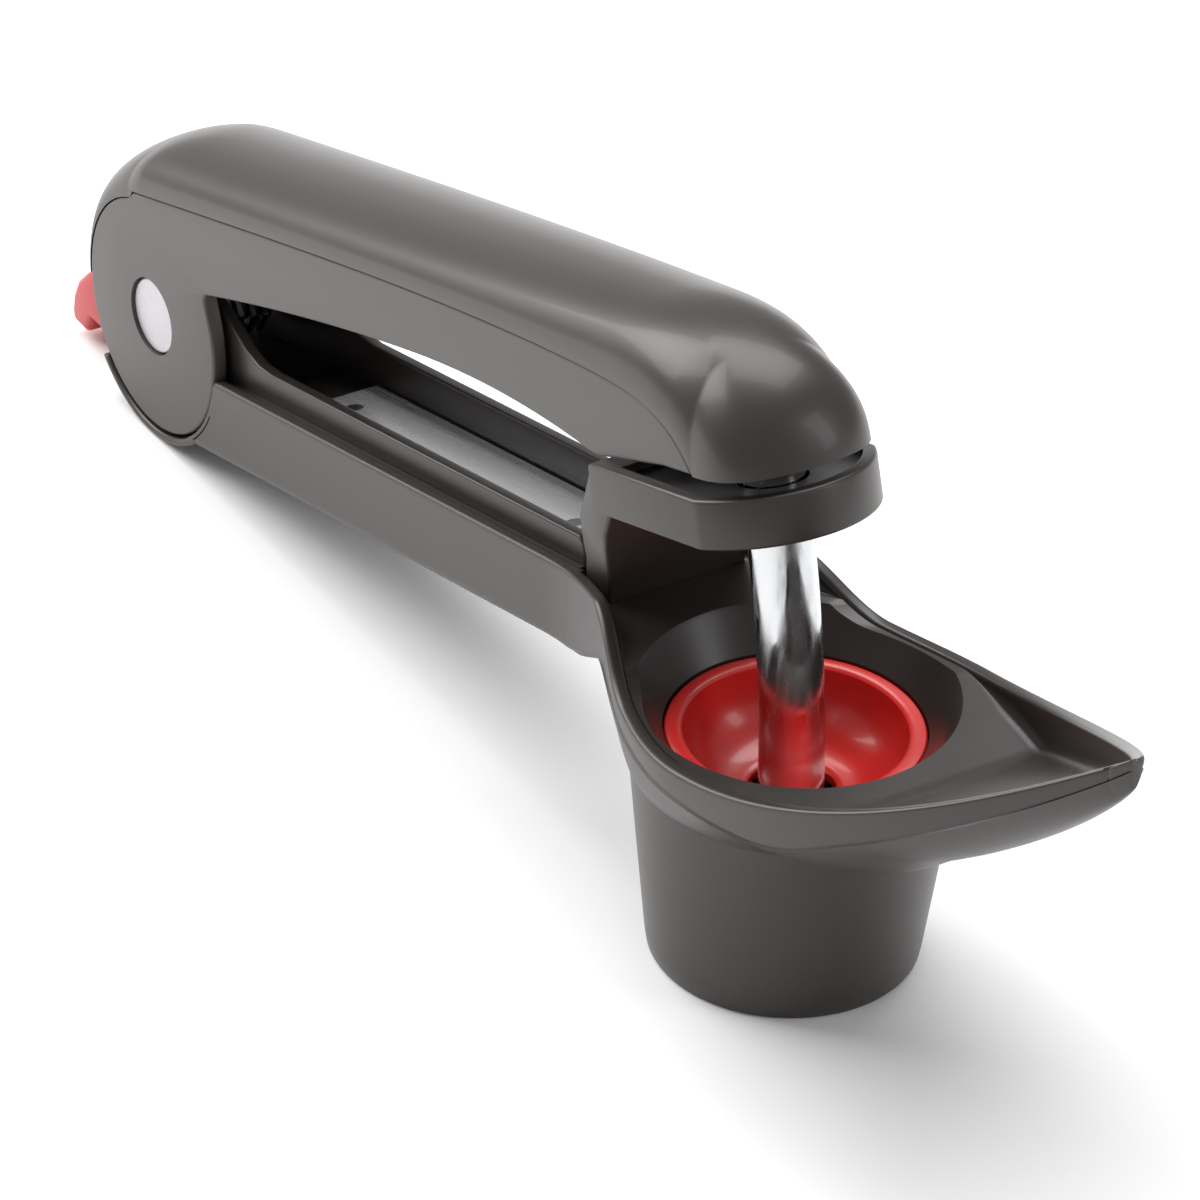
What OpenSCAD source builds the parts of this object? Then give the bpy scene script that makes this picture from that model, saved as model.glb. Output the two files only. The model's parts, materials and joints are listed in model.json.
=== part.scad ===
// Olive pitter: a lever hinged on a long handle drives a curved rod
// through a guard plate into a red seat above an open cup.
// X runs forward from the hinge to the spout, Z is up, and the origin
// is the centre of the cup's foot, on the surface it stands on.

/* [Overall] */
// Distance from the hinge axis back from the cup axis
reach = 137.2; // [120:0.1:150]
// Height of the hinge axis above the surface
hinge_z = 17.8; // [17.5:0.1:20]
// Upward slope of the handle towards the cup, in degrees
handle_tilt = 14; // [13:0.5:15]
// Upward slope of the closed lever, in degrees
lever_tilt = 19; // [18.5:0.1:20.5]
// Angle that the lever opens through, in degrees
lever_swing = 20.5; // [10:0.5:22]

/* [Handle] */
// Half width of the handle over its outer rails
handle_half = 11.8; // [11.6:0.1:13]
// Wall of the handle rails
rail_wall = 2; // [1.6:0.1:2.4]
// Depth of a rail's top edge below the hinge axis
rail_top = 5; // [4.5:0.1:5.8]
// Depth of a rail's lower edge below the hinge axis
rail_bottom = 16.1; // [15:0.1:17]
// Depth of the channel floor's upper face below the hinge axis
floor_top = 7.8; // [7:0.1:9]
// Thickness of the channel floor
floor_wall = 2; // [1.5:0.1:3]
// Depth of a cheek's top edge below the hinge axis
cheek_top = 2; // [1:0.1:3]
// Thickness of an inner cheek
cheek_wall = 1.8; // [1.4:0.1:2.2]
// Radius of the ears that carry the pin
ear_r = 9.5; // [8:0.1:10.5]
// Number of ribs under the channel floor
rib_count = 5; // [2:1:8]
// Thickness of a rib under the channel floor
rib_wall = 1.2; // [0.8:0.1:2]
// Height of a rib under the channel floor
rib_height = 4; // [2:0.1:5]

/* [Tray] */
// Half width of the tray at its widest
tray_half = 23; // [22.4:0.1:25]
// Distance of the widest place in front of the cup axis
tray_wide_x = 8; // [5:0.5:12]
// Distance of the spout tip in front of the cup axis
tray_tip_x = 69; // [62:0.5:76]
// Wall of the tray
tray_wall = 2.2; // [1.6:0.1:2.6]
// Height of the rim at its lowest place, beside the cup
rim_z = 35.6; // [35:0.1:36.5]
// Rise of the rim from its lowest place to the spout tip
rim_rise = 33.9; // [25:0.1:38]
// Power that shapes the rise of the rim
rim_power = 1.85; // [1.6:0.05:2.1]
// Power that shapes the spout in plan
spout_power = 2.2; // [2:0.05:2.6]
// Radius of the spout's tip in plan
tip_r = 2.4; // [1.8:0.1:3]
// Height of the tray's level floor
tray_floor_z = 36.8; // [36:0.1:37]
// Height of the tray's underside around the cup
tray_under_z = 27.5; // [27:0.1:28.5]
// Depth of the underside below the rim where the spout starts
spout_depth = 12.5; // [11:0.1:13]
// Depth of the underside below the rim at the tip
tip_depth = 4.2; // [3.8:0.1:5.5]
// Share of the outer wall that curves in to the underside
bowl_share = 0.6; // [0.4:0.05:0.7]
// Depth of the spout floor below the rim at its start
spout_floor_deep = 6.4; // [4:0.1:7]
// Depth of the spout floor below the rim at its tip
spout_floor_shallow = 3.2; // [2:0.1:4]

/* [Cup] */
// Radius of the cup's foot
foot_r = 17; // [16:0.1:18]
// Growth of the cup's radius for each unit of height
cup_flare = 0.12; // [0.08:0.01:0.14]
// Wall of the cup
cup_wall = 1.8; // [1.4:0.1:2.4]
// Thickness of the ring that joins the cup to the tray
cup_ring_h = 2; // [1.5:0.1:3]
// Radius of the pocket at the tray floor
pocket_r = 20; // [19.4:0.1:20.2]
// Radius of the red seat's flange
seat_r = 16.2; // [15.9:0.1:16.4]
// Height of the red seat's flange
seat_z = 31.7; // [31:0.1:32.4]
// Thickness of the red seat's flange
seat_flange = 1.8; // [1.2:0.1:2]
// Width of the red seat's lip, from its rim to the bowl's wall below
seat_lip = 3; // [2.8:0.1:3.4]
// Depth of the red seat's bowl
bowl_depth = 9; // [7:0.1:11]
// Wall of the red seat's bowl
bowl_wall = 1.4; // [1:0.1:1.6]
// Radius of the hole in the red seat
bowl_hole_r = 5.4; // [5:0.1:6]

/* [Guard] */
// Gap between the lever's nose and the guard plate
nose_gap = 2.2; // [1.8:0.1:2.6]
// Half width of the guard
guard_half = 13.2; // [12.4:0.1:13.8]
// Thickness of the guard plate
guard_plate = 6.4; // [5.4:0.1:7]
// Gap between the closed lever and the guard plate
guard_gap = 0.4; // [0.3:0.1:1]
// Distance of the guard leg's rear face behind the cup axis
leg_back = 33; // [32:0.1:34]
// Thickness of the guard's leg
leg_wall = 5.6; // [4.6:0.1:6.4]
// Half width of the guard's leg at its foot
leg_half = 10.1; // [9:0.1:11]
// Height of the leg's straight foot
leg_foot_h = 4; // [3:0.1:6]
// Height at which the leg is as wide as the plate
leg_wide_h = 13; // [10:0.1:15]
// Depth of the leg's knee below the plate's top
leg_knee = 13.5; // [11:0.1:15]
// Distance of the guard plate's rear corner behind the rod, along the lever
guard_back = 21.4; // [20:0.1:23]
// Depth of the recess in the guard plate's top
guard_dish = 1.2; // [0.6:0.1:2]
// Width of the lip around that recess
guard_lip = 1.8; // [1.2:0.1:2.5]

/* [Lever] */
// Half width of the lever over its side plates
lever_half = 11.6; // [11.4:0.1:12.6]
// Thickness of a side plate
plate_wall = 2.2; // [1.8:0.1:2.4]
// Radius of the round rear of the lever
disc_r = 16.2; // [15.5:0.1:16.5]
// Wall of the round rear of the lever
disc_wall = 2.2; // [1.8:0.1:2.6]
// Height of the seam between side plate and cover above the hinge
seam_v = 17.2; // [16.8:0.1:18]
// Rise of the domed cover above the seam
dome_rise = 5.7; // [4:0.1:6]
// Fall of the cover's crown from the rear to the nose
crown_fall = 1.1; // [0:0.1:2]
// Wall of the domed cover
cover_wall = 1.9; // [1.5:0.1:2.5]
// Reach of the lever's nose past the rod
nose_front = 11; // [10:0.1:12]
// Height of the nose's lower edge above the hinge
nose_v = 4.6; // [4.2:0.1:5]
// Height of the top of the arch under the side plates
arch_v = 8; // [7.4:0.1:8.6]
// Thickness of the deck between the side plates
deck_wall = 1.8; // [1.4:0.1:2.4]
// Number of cross ribs in the lever
lever_ribs = 4; // [2:1:6]

/* [Rod] */
// Diameter of the pitting rod
rod_d = 8.2; // [7:0.1:8.4]
// Height of the closed rod's tip above the surface
rod_tip_z = 12; // [8:0.5:18]
// Height of the rod's top above the hinge, in the lever
rod_top_v = 13.4; // [12:0.1:14]
// Wall of the socket that holds the rod
socket_wall = 2; // [1.5:0.1:2.4]
// Diameter of the cross pin through the rod
cross_d = 2.5; // [2:0.1:3]
// Height of the cross pin above the hinge
cross_v = 9.6; // [9:0.1:10.5]

/* [Pin] */
// Diameter of the hinge pin
pin_d = 5; // [4:0.1:5.6]
// Diameter of the pin's flat heads
head_d = 10.3; // [9:0.1:11]
// Thickness of the pin's heads
head_h = 0.9; // [0.6:0.1:1]
// Depth of the heads below the lever's faces
head_sink = 0.4; // [0.2:0.1:0.5]
// Diameter of the washers beside the ears
washer_d = 12; // [9:0.5:14]
// Thickness of the washers beside the ears
washer_t = 0.8; // [0.6:0.1:1]
// Outer diameter of the tube that carries the spring
bush_d = 7.4; // [6.8:0.1:8.4]
// Mean diameter of the return spring's coils
spring_d = 10.4; // [9.8:0.1:11.2]
// Wire diameter of the return spring
spring_wire = 1.3; // [1:0.1:1.6]
// Number of coils in the return spring
spring_turns = 5; // [3:1:7]
// Length of the return spring's legs
spring_leg = 24; // [20:0.5:26]

/* [Latch] */
// Half width of the latch's stem
latch_half = 5.4; // [4.6:0.1:6]
// Half width of the latch's thumb tab
tab_half = 8.4; // [7:0.1:9]
// Height of the thumb tab's upper edge
tab_top = 12.2; // [11.5:0.1:12.4]
// Height of the thumb tab's lower edge
tab_bottom = 1.4; // [1:0.1:2]
// Distance of the tab's rear end behind the hinge
tab_reach = 27; // [25:0.5:29]
// Height of the latch's stem
stem_h = 3.6; // [3:0.1:4]
// Travel of the latch
latch_travel = 2; // [1:0.1:2.5]

/* [Fastenings] */
// Thread diameter of the screws
screw_d = 2.5; // [2:0.1:3]
// Head diameter of the screws
screw_head_d = 4.6; // [4:0.1:5]
// Head height of the screws
screw_head_h = 1.4; // [1:0.1:1.8]
// Number of screws that hold the cover
cover_screw_count = 3; // [2:1:4]
// Depth of the screw heads under the tray's floor
floor_screw_drop = 2.2; // [1.6:0.1:2.6]
// Start of the steel strip in front of the hinge
strip_from = 27; // [25:0.5:32]
// Gap between the steel strip and the end of the handle's cheeks
strip_gap = 0.5; // [0.2:0.1:2]
// Thickness of the steel strip in the handle
strip_h = 0.6; // [0.4:0.1:1]

/* [Fits] */
// Radial clearance of the running fits on the hinge pin
pin_fit = 0.05; // [0.03:0.01:0.1]
// Radial clearance of the rod in the guard plate
rod_fit = 0.4; // [0.3:0.1:0.6]
// Gap between pieces that slide past each other
slide_gap = 0.4; // [0.3:0.05:0.6]
// Gap between pieces that seat on each other
seat_gap = 0.05; // [0.02:0.01:0.1]

/* [Hidden] */

$fn = 72;
// Overshoot that carries a cut past the face it opens
over = 1;
// A size larger than the whole object, for cuts that leave one side
beyond = 300;

// Hinge and cup
hinge_x = -reach;
heel_r = hinge_z;
cup_top_z = tray_under_z - seat_gap;
cup_top_r = foot_r + cup_flare * cup_top_z;
bowl_r = seat_r - seat_lip;
mouth_flare = 0.6;
mouth_r = bowl_r + mouth_flare;

// Handle: heights in its own frame, which has its origin at the hinge
disc_gap_r = disc_r + slide_gap;
cheek_in = lever_half - plate_wall - washer_t - seat_gap * 2 - cheek_wall;
cheek_out = cheek_in + cheek_wall;
rail_in = handle_half - rail_wall;
ledge_v = -rail_top - 0.8;
wrap_end_z = 5;
shoulder_x = -24;
rim_low_x = -9;
blend_x = -40;
spout_x = 20;
keel_x = 18;
keel_end_x = 38;
bowl_from = -34;
flat_r = foot_r + cup_flare * tray_under_z + 0.1;
bowl_power = 1.7;
bowl_steps = 6;
plan_steps = 24;

// Guard, in the lever's frame
leg_rear = reach - leg_back;
guard_top = nose_v - nose_gap;
guard_bottom = guard_top - guard_plate;
skirt_low = guard_top + guard_gap;
rod_u = reach - 0.2;
cheek_end_u = (leg_rear - slide_gap - floor_top * sin(handle_tilt)) / cos(handle_tilt);
strip_to = cheek_end_u - strip_gap;
guard_round = rod_u - 2.8;
leg_top_u = rod_u - guard_back;

// Lever
plate_in = lever_half - plate_wall;
deck_v = arch_v + 3.4;
crown_v = seam_v + dome_rise;
crown_rear = 6;
crown_power = 2.6;
drum_in = disc_r - disc_wall;
nose_u = rod_u + nose_front;
nose_r = lever_half + 2.4;
nose_c = nose_u - nose_r;
nose_power = 4.5;
nose_turn = nose_u - 30;
skirt_front = nose_u - 33.3;
skirt_flat = nose_u - 17;
seam_end = nose_u - 10;
cover_rear = -disc_r + 0.7;
seam_places = [for (i = [0:20]) (seam_end - 1) * pow(i / 20, 0.7)];

// Hinge pin
pin_r = pin_d / 2;
head_y = lever_half - head_sink;
recess = head_sink + head_h + seat_gap;
cap_grip = head_h / 2;

// Latch, as places measured from the hinge axis
stem_z = tab_bottom + 2.6;
stem_front = latch_travel + sqrt(pow(disc_gap_r, 2) - pow(hinge_z - stem_z - stem_h, 2));
lug_top = stem_z - 0.3;
lug_wall = 1.9;
latch_pin_r = 1.2;
latch_pin_back = stem_front + latch_pin_r + slide_gap;
latch_pin_x = hinge_x - latch_pin_back;
lug_rear = latch_pin_back + latch_pin_r + slide_gap + 0.9;
latch_washer_r = 2.7;
latch_washer_h = 0.6;

// Height of a line in the handle, a given depth below the hinge's level
function handle_z(u, depth) = hinge_z + u * tan(handle_tilt) - depth / cos(handle_tilt);

// Smooth step from 0 to 1
function ease(t) = (1 - cos(180 * min(1, max(0, t)))) / 2;

// Points along an outline between two places, both included
function steps(from, to, n) = [for (i = [0:n]) from + (to - from) * i / n];

// Half width of the tray and handle in plan, and of their hollow
function plan_half(x, wide, narrow, tip) =
    x < blend_x ? narrow
    : x < tray_wide_x ? narrow + (wide - narrow) * ease((x - blend_x) / (tray_wide_x - blend_x))
    : min(wide * (1 - pow((x - tray_wide_x) / (tip + tip_r / 2 - tray_wide_x), spout_power)),
        x < tip - tip_r ? wide : sqrt(pow(tip_r, 2) - pow(0.95 * (x - tip + tip_r), 2)));

// Height of the rim: the rail's line, a soft shoulder, then the rise to the spout
function rim(x) =
    x < shoulder_x ? handle_z(x + reach, rail_top)
    : x < rim_low_x ? rim_z + (handle_z(shoulder_x + reach, rail_top) - rim_z)
        * (1 - ease((x - shoulder_x) / (rim_low_x - shoulder_x)))
    : rim_z + rim_rise * pow((x - rim_low_x) / (tray_tip_x - rim_low_x), rim_power);

// Height of the underside: level round the cup, then rising under the spout
function keel(x) =
    let (t = ease((x - keel_x) / (keel_end_x - keel_x)),
         along = max(0, tray_tip_x - x) / (tray_tip_x - keel_end_x),
         depth = tip_depth + (spout_depth - tip_depth) * pow(along, 0.7))
    x < keel_x ? min(tray_under_z, handle_z(x + reach, rail_bottom)) : tray_under_z * (1 - t) + (rim(x) - depth) * t;

// Section of the moulding: straight wall, then a bowl curved in to the underside
function skin_ring(x) =
    let (half = plan_half(x, tray_half, handle_half, tray_tip_x),
         bowl = ease((x - bowl_from) / (shoulder_x + 6 - bowl_from)),
         flat = max(0.05 * half, sqrt(max(0, pow(flat_r, 2) - x * x)), x < 0 ? 0.5 * half * (1 - bowl) : 0),
         low = keel(x),
         side = concat([[half, rim(x)]], [for (i = [0:bowl_steps])
             let (q = 1 - i / bowl_steps)
             [flat + (half - flat) * q, low + (rim(x) - low) * bowl_share * bowl * pow(q, bowl_power)]]))
    concat([for (p = side) [x, p[0], p[1]]],
        [for (i = [len(side) - 1:-1:0]) [x, -side[i][0], side[i][1]]]);

// Height of the spout's floor
function spout_floor(x) =
    let (t = (x - spout_x) / (tray_tip_x - spout_x))
    max(tray_floor_z, rim(x) - spout_floor_deep * (1 - t) - spout_floor_shallow * t);

// Height of the seam between the lever's side plates and its cover
function seam(u) =
    let (s = max(0, u) / seam_end)
    seam_v - (seam_v - nose_v) * (0.44 * pow(s, 3.5) + 0.56 * pow(s, 30));

// Lower edge of the lever's side plates: an arch for the fingers
function skirt(u) =
    let (mid = skirt_front * 0.6)
    u > skirt_front ? skirt_low + (nose_v - skirt_low) * min(1, (u - skirt_front) / (skirt_flat - skirt_front))
    : u > mid ? arch_v - (arch_v - skirt_low) * pow((u - mid) / (skirt_front - mid), 2.2)
    : arch_v - 2.1 * pow((mid - u) / 50, 2);

// Half width of the lever's cover in plan
function cover_half(u) =
    u < nose_c ? lever_half : lever_half * sqrt(max(0, 1 - pow((u - nose_c) / nose_r, nose_power)));

// Height of the cover's crown, rounded over at the rear and down the nose
function crown(u) =
    let (top = crown_v - crown_fall * max(0, u - crown_rear) / (nose_turn - crown_rear))
    u < crown_rear ? top * pow(max(0, 1 - pow((crown_rear - u) / (disc_r + crown_rear + 0.4), crown_power)),
        1 / crown_power)
    : u < nose_turn ? top
    : nose_v + (top - nose_v) * pow(max(0, 1 - pow((u - nose_turn) / (nose_u - nose_turn), 2.4)), 0.46);

// Places in the frames of the handle and the lever
module in_frame(tilt) { translate([hinge_x, 0, hinge_z]) rotate([0, -tilt, 0]) children(); }
module in_handle() { in_frame(handle_tilt) children(); }
module in_lever() { in_frame(lever_tilt) children(); }

// A side view given a width across the object
module across(half) {
    rotate([90, 0, 0]) linear_extrude(height = 2 * half, center = true) children();
}

// Two side walls between an inner and an outer half width
module both_sides(inner, outer) {
    for (side = [-1, 1])
        translate([0, side * (inner + outer) / 2, 0]) across((outer - inner) / 2) children();
}

// A disc or bore on an axis across the object
module wheel(r, half) { rotate([90, 0, 0]) cylinder(r = r, h = 2 * half, center = true); }

// The plan of the tray and handle, mirrored about the middle
module plan(wide, narrow, from, tip) {
    xs = concat([from], steps(blend_x, tray_wide_x, plan_steps / 2));
    front = [for (i = [1:plan_steps]) tray_wide_x + (tip - tray_wide_x) * sin(90 * i / plan_steps)];
    all_x = concat(xs, front);
    n = len(all_x) - 1;
    polygon(concat(
        [for (x = all_x) [x, -plan_half(x, wide, narrow, tip)]],
        [for (i = [n:-1:0]) [all_x[i], plan_half(all_x[i], wide, narrow, tip)]]));
}

// The outside of the tray and handle: sections joined by flat faces
module outer_skin() {
    xs = concat([hinge_x, (hinge_x + blend_x) / 2, blend_x], steps(bowl_from, tray_wide_x, plan_steps / 2),
        [for (i = [1:plan_steps * 0.75]) tray_wide_x + (tray_tip_x - tray_wide_x) * sin(120 * i / plan_steps)]);
    rings = len(xs);
    n = 2 * (bowl_steps + 2);
    polyhedron([for (x = xs) each skin_ring(x)], concat(
        [[for (k = [n - 1:-1:0]) k]],
        [for (i = [0:rings - 2]) for (k = [0:n - 1])
            let (a = i * n + k, b = i * n + (k + 1) % n) [a, b, a + n]],
        [for (i = [0:rings - 2]) for (k = [0:n - 1])
            let (a = i * n + k, b = i * n + (k + 1) % n) [b, b + n, a + n]],
        [[for (k = [0:n - 1]) (rings - 1) * n + k]]));
}

// The hollow above the tray's floor
module tray_hollow() {
    fronts = [for (i = [0:plan_steps]) spout_x + (tray_tip_x - spout_x) * i / plan_steps];
    intersection() {
        translate([0, 0, tray_under_z]) linear_extrude(height = beyond / 4)
            plan(tray_half - tray_wall, rail_in, blend_x - over, tray_tip_x - tray_wall);
        across(tray_half) polygon(concat(
            [[blend_x - over, beyond / 4], [blend_x - over, tray_floor_z]],
            [for (x = fronts) [x, spout_floor(x)]],
            [[tray_tip_x, beyond / 4]]));
    }
}

// The conical pocket and the stepped bore that hold the red seat
module seat_bore() {
    ledge_z = seat_z - seat_flange;
    rise = tray_floor_z - seat_z;
    slope = (pocket_r - seat_r) / rise;
    translate([0, 0, tray_under_z - over]) cylinder(r = bowl_r + bowl_wall + slide_gap, h = beyond / 10);
    translate([0, 0, ledge_z]) cylinder(r = seat_r + seat_gap, h = rise);
    translate([0, 0, seat_z])
        cylinder(r1 = seat_r + seat_gap, r2 = pocket_r + slope * over, h = rise + over);
}

// Channels above and below the handle's floor
module handle_channels() {
    leg_u = leg_rear / cos(handle_tilt);
    meet_u = over + (tray_floor_z - hinge_z + floor_top * cos(handle_tilt)) / sin(handle_tilt);
    in_handle() {
        across(cheek_in) polygon([[0, -floor_top], [meet_u, -floor_top],
            [meet_u, beyond / 8], [0, beyond / 8]]);
        across(leg_half + slide_gap) polygon([[cheek_end_u, -floor_top], [meet_u, -floor_top],
            [meet_u, beyond / 8], [cheek_end_u, beyond / 8]]);
        both_sides(cheek_out, rail_in) polygon([[0, ledge_v], [leg_u, ledge_v],
            [leg_u, beyond / 8], [0, beyond / 8]]);
    }
    under_end = (blend_x + reach) / cos(handle_tilt) + 2;
    under_from = disc_gap_r + 2;
    in_handle() across(rail_in) polygon([[under_from, -floor_top - floor_wall],
        [under_end, -floor_top - floor_wall], [under_end, -beyond / 8], [under_from, -beyond / 8]]);
}

// Place of a rib under the handle's floor
function rib_u(i) =
    let (first_u = disc_gap_r + 6, last_u = (blend_x + reach) / cos(handle_tilt) - 4)
    first_u + (last_u - first_u) * i / (rib_count - 1);

// Cross ribs under the handle's floor
module handle_ribs() {
    for (i = [0:rib_count - 1])
        in_handle() translate([rib_u(i), 0, -floor_top - floor_wall - rib_height / 2])
            cube([rib_wall, 2 * rail_in + seat_gap, rib_height + seat_gap], center = true);
}

// Ears that carry the hinge pin, and the cheeks that run on to the guard's leg
module cheeks() {
    in_handle() both_sides(cheek_in, cheek_out) {
        circle(r = ear_r);
        polygon([[-6, 0], [-6, -disc_gap_r * 0.9], [0, -disc_gap_r - seat_gap], [disc_gap_r, -floor_top - floor_wall],
            [cheek_end_u, -floor_top - floor_wall], [cheek_end_u, -cheek_top], [disc_gap_r + 9, -cheek_top],
            [disc_gap_r + 4, -cheek_top + 1.2], [disc_gap_r, -cheek_top + 4],
            [ear_r * 0.8, ear_r * 0.6]]);
    }
}

// The slotted lug behind the heel that guides the latch
module latch_lug() {
    translate([hinge_x - lug_rear, -latch_half - lug_wall / 2, lug_top - lug_wall])
        cube([lug_rear - heel_r / 2, 2 * latch_half + lug_wall, lug_wall]);
}

// The slot in the lug that the latch's pin runs in
module latch_slot() {
    translate([0, 0, lug_top - lug_wall - over]) linear_extrude(height = lug_wall + 2 * over)
        union() {
            for (x = [latch_pin_x, latch_pin_x + latch_travel])
                translate([x, 0]) circle(r = latch_pin_r + slide_gap);
            translate([latch_pin_x, -latch_pin_r - slide_gap])
                square([latch_travel, 2 * (latch_pin_r + slide_gap)]);
        }
}

// Handle, rails, heel, ears and tray: one moulding
module handle_body() {
    color("#413e3c") difference() {
        union() {
            difference() {
                union() {
                    difference() {
                        union() {
                        outer_skin();
                        intersection() {
                            translate([hinge_x, 0, hinge_z]) wheel(heel_r, handle_half);
                            across(handle_half + over) polygon([[hinge_x, -over], [hinge_x + heel_r + over, -over],
                                [hinge_x + heel_r + over, handle_z(heel_r + over, rail_top + 0.1)],
                                [hinge_x, handle_z(0, rail_top + 0.1)]]);
                        }
                        }
                        handle_channels();
                        tray_hollow();
                    }
                    handle_ribs();
                    intersection() {
                        translate([hinge_x, 0, hinge_z]) wheel(heel_r, handle_half);
                        translate([hinge_x - heel_r, -handle_half, 0])
                            cube([heel_r + over, 2 * handle_half, wrap_end_z]);
                    }
                    latch_lug();
                }
                translate([hinge_x, 0, hinge_z]) wheel(disc_gap_r, tray_half);
            }
            cheeks();
            in_handle() across(cheek_in + seat_gap) polygon([[-2, -disc_gap_r - seat_gap],
                [-2, -floor_top - floor_wall], [0, -floor_top], [disc_gap_r + over, -floor_top],
                [disc_gap_r + over, -floor_top - floor_wall], [0.6 * disc_gap_r, -floor_top - floor_wall],
                [0.3 * disc_gap_r, -disc_gap_r]]);
        }
        seat_bore();
        latch_slot();
        translate([hinge_x - lug_rear, -latch_half - slide_gap, lug_top])
            cube([lug_rear, 2 * (latch_half + slide_gap), stem_h + slide_gap]);
        translate([hinge_x, 0, hinge_z]) wheel(pin_r + pin_fit, cheek_out + over);
        guard_screw_places() translate([0, 0, -beyond / 10])
            cylinder(d = screw_d + 2 * seat_gap, h = beyond / 5);
        guard_screw_places() translate([0, 0, -floor_screw_drop - beyond / 10])
            cylinder(d = screw_head_d + 2 * slide_gap, h = beyond / 10);
        in_handle() strip_screw_places() translate([0, 0, -beyond / 10])
            cylinder(d = screw_d + 2 * seat_gap, h = beyond / 5);
    }
}

// Open conical cup with its foot ring
module splash_cup() {
    color("#3f3c3a") rotate_extrude() polygon([
        [foot_r - cup_wall, 0], [foot_r, 0], [cup_top_r, cup_top_z],
        [cup_top_r - cup_wall - cup_ring_h, cup_top_z],
        [cup_top_r - cup_wall - cup_ring_h, cup_top_z - cup_ring_h],
        [cup_top_r - cup_wall - cup_flare * cup_ring_h, cup_top_z - cup_ring_h]]);
}

// Red seat: a bowl with a hole for the stone, hung from its flange
module red_seat() {
    arc = steps(0, 90, 10);
    bottom_z = seat_z - bowl_depth;
    color("#a82a2c") rotate_extrude() polygon(concat(
        [[seat_r, seat_z - seat_flange], [seat_r, seat_z]],
        [for (a = arc) [bowl_hole_r + (mouth_r - bowl_hole_r) * cos(a), seat_z - bowl_depth * sin(a)]],
        [for (i = [len(arc) - 1:-1:0]) [bowl_hole_r + (bowl_r + bowl_wall - bowl_hole_r) * cos(arc[i]),
            seat_z - seat_flange - (bowl_depth + bowl_wall - seat_flange) * sin(arc[i])]]));
}

// Where the guard's leg stands, and its screws
module guard_screw_places() {
    leg_mid = hinge_x + leg_rear + leg_wall / 2;
    for (side = [-1, 1])
        translate([leg_mid, side * leg_half / 2, handle_z(leg_rear + leg_wall / 2, floor_top)]) children();
}

// Plan of the guard's plate: straight sides and a round front
module guard_plan(half, from, front_r) {
    reach_a = asin(half / front_r);
    polygon(concat([[from, half], [from, -half]],
        [for (a = steps(-reach_a, reach_a, 24)) [guard_round + front_r * cos(a), front_r * sin(a)]]));
}

// Guard: a plate over the seat, on a leg that stands on the tray
module guard() {
    front_r = guard_half + 1.1;
    foot_z = handle_z(leg_rear, floor_top) + seat_gap;
    front_z = min(handle_z(leg_rear + leg_wall, floor_top), tray_floor_z) + seat_gap;
    flat_x = hinge_x + (tray_floor_z - hinge_z + floor_top / cos(handle_tilt)) / tan(handle_tilt);
    color("#474442") difference() {
        union() {
            difference() {
                in_lever() translate([0, 0, guard_bottom]) linear_extrude(height = guard_plate)
                    guard_plan(guard_half, leg_top_u, front_r);
                in_lever() translate([0, 0, guard_top - guard_dish]) linear_extrude(height = over + guard_dish)
                    guard_plan(guard_half - guard_lip, leg_top_u + leg_wall, front_r - guard_lip);
            }
            intersection() {
                across(guard_half - seat_gap) polygon([
                    [hinge_x + leg_rear, foot_z],
                    lever_point(leg_top_u - 9, guard_top - leg_knee),
                    lever_point(leg_top_u, guard_top - seat_gap),
                    lever_point(leg_top_u + leg_wall, guard_top - guard_dish),
                    lever_point(leg_top_u + leg_wall, guard_bottom - 0.4),
                    [hinge_x + leg_rear + leg_wall + 0.8, foot_z + 8],
                    [hinge_x + leg_rear + leg_wall, tray_floor_z + seat_gap],
                    [flat_x, tray_floor_z + seat_gap]]);
                translate([hinge_x + leg_rear - over, 0, 0]) rotate([90, 0, 90])
                    linear_extrude(height = beyond / 10) polygon([
                        [-leg_half, foot_z - over], [leg_half, foot_z - over],
                        [leg_half, foot_z + leg_foot_h], [guard_half, foot_z + leg_wide_h], [guard_half, beyond / 3],
                        [-guard_half, beyond / 3], [-guard_half, foot_z + leg_wide_h], [-leg_half, foot_z + leg_foot_h]]);
            }
        }
        in_lever() translate([rod_u, 0, 0]) cylinder(d = rod_d + 2 * rod_fit, h = beyond / 6, center = true);
        guard_screw_places() translate([0, 0, -over]) cylinder(d = screw_d + 2 * seat_gap, h = 7 + over);
    }
}

// A place in the lever's frame, as a place in the side view
function lever_point(u, v) = [
    hinge_x + u * cos(lever_tilt) - v * sin(lever_tilt),
    hinge_z + u * sin(lever_tilt) + v * cos(lever_tilt)];

// A pan-head screw that points up, its head below the origin
module screw_up(length) {
    cylinder(d = screw_d, h = length);
    translate([0, 0, -screw_head_h]) cylinder(d = screw_head_d, h = screw_head_h);
}

// Screws that hold the guard's leg, from below the tray's floor
module guard_screws() {
    color("#b9bbbd") guard_screw_places() translate([0, 0, -floor_screw_drop]) screw_up(floor_screw_drop + 6);
}

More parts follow.
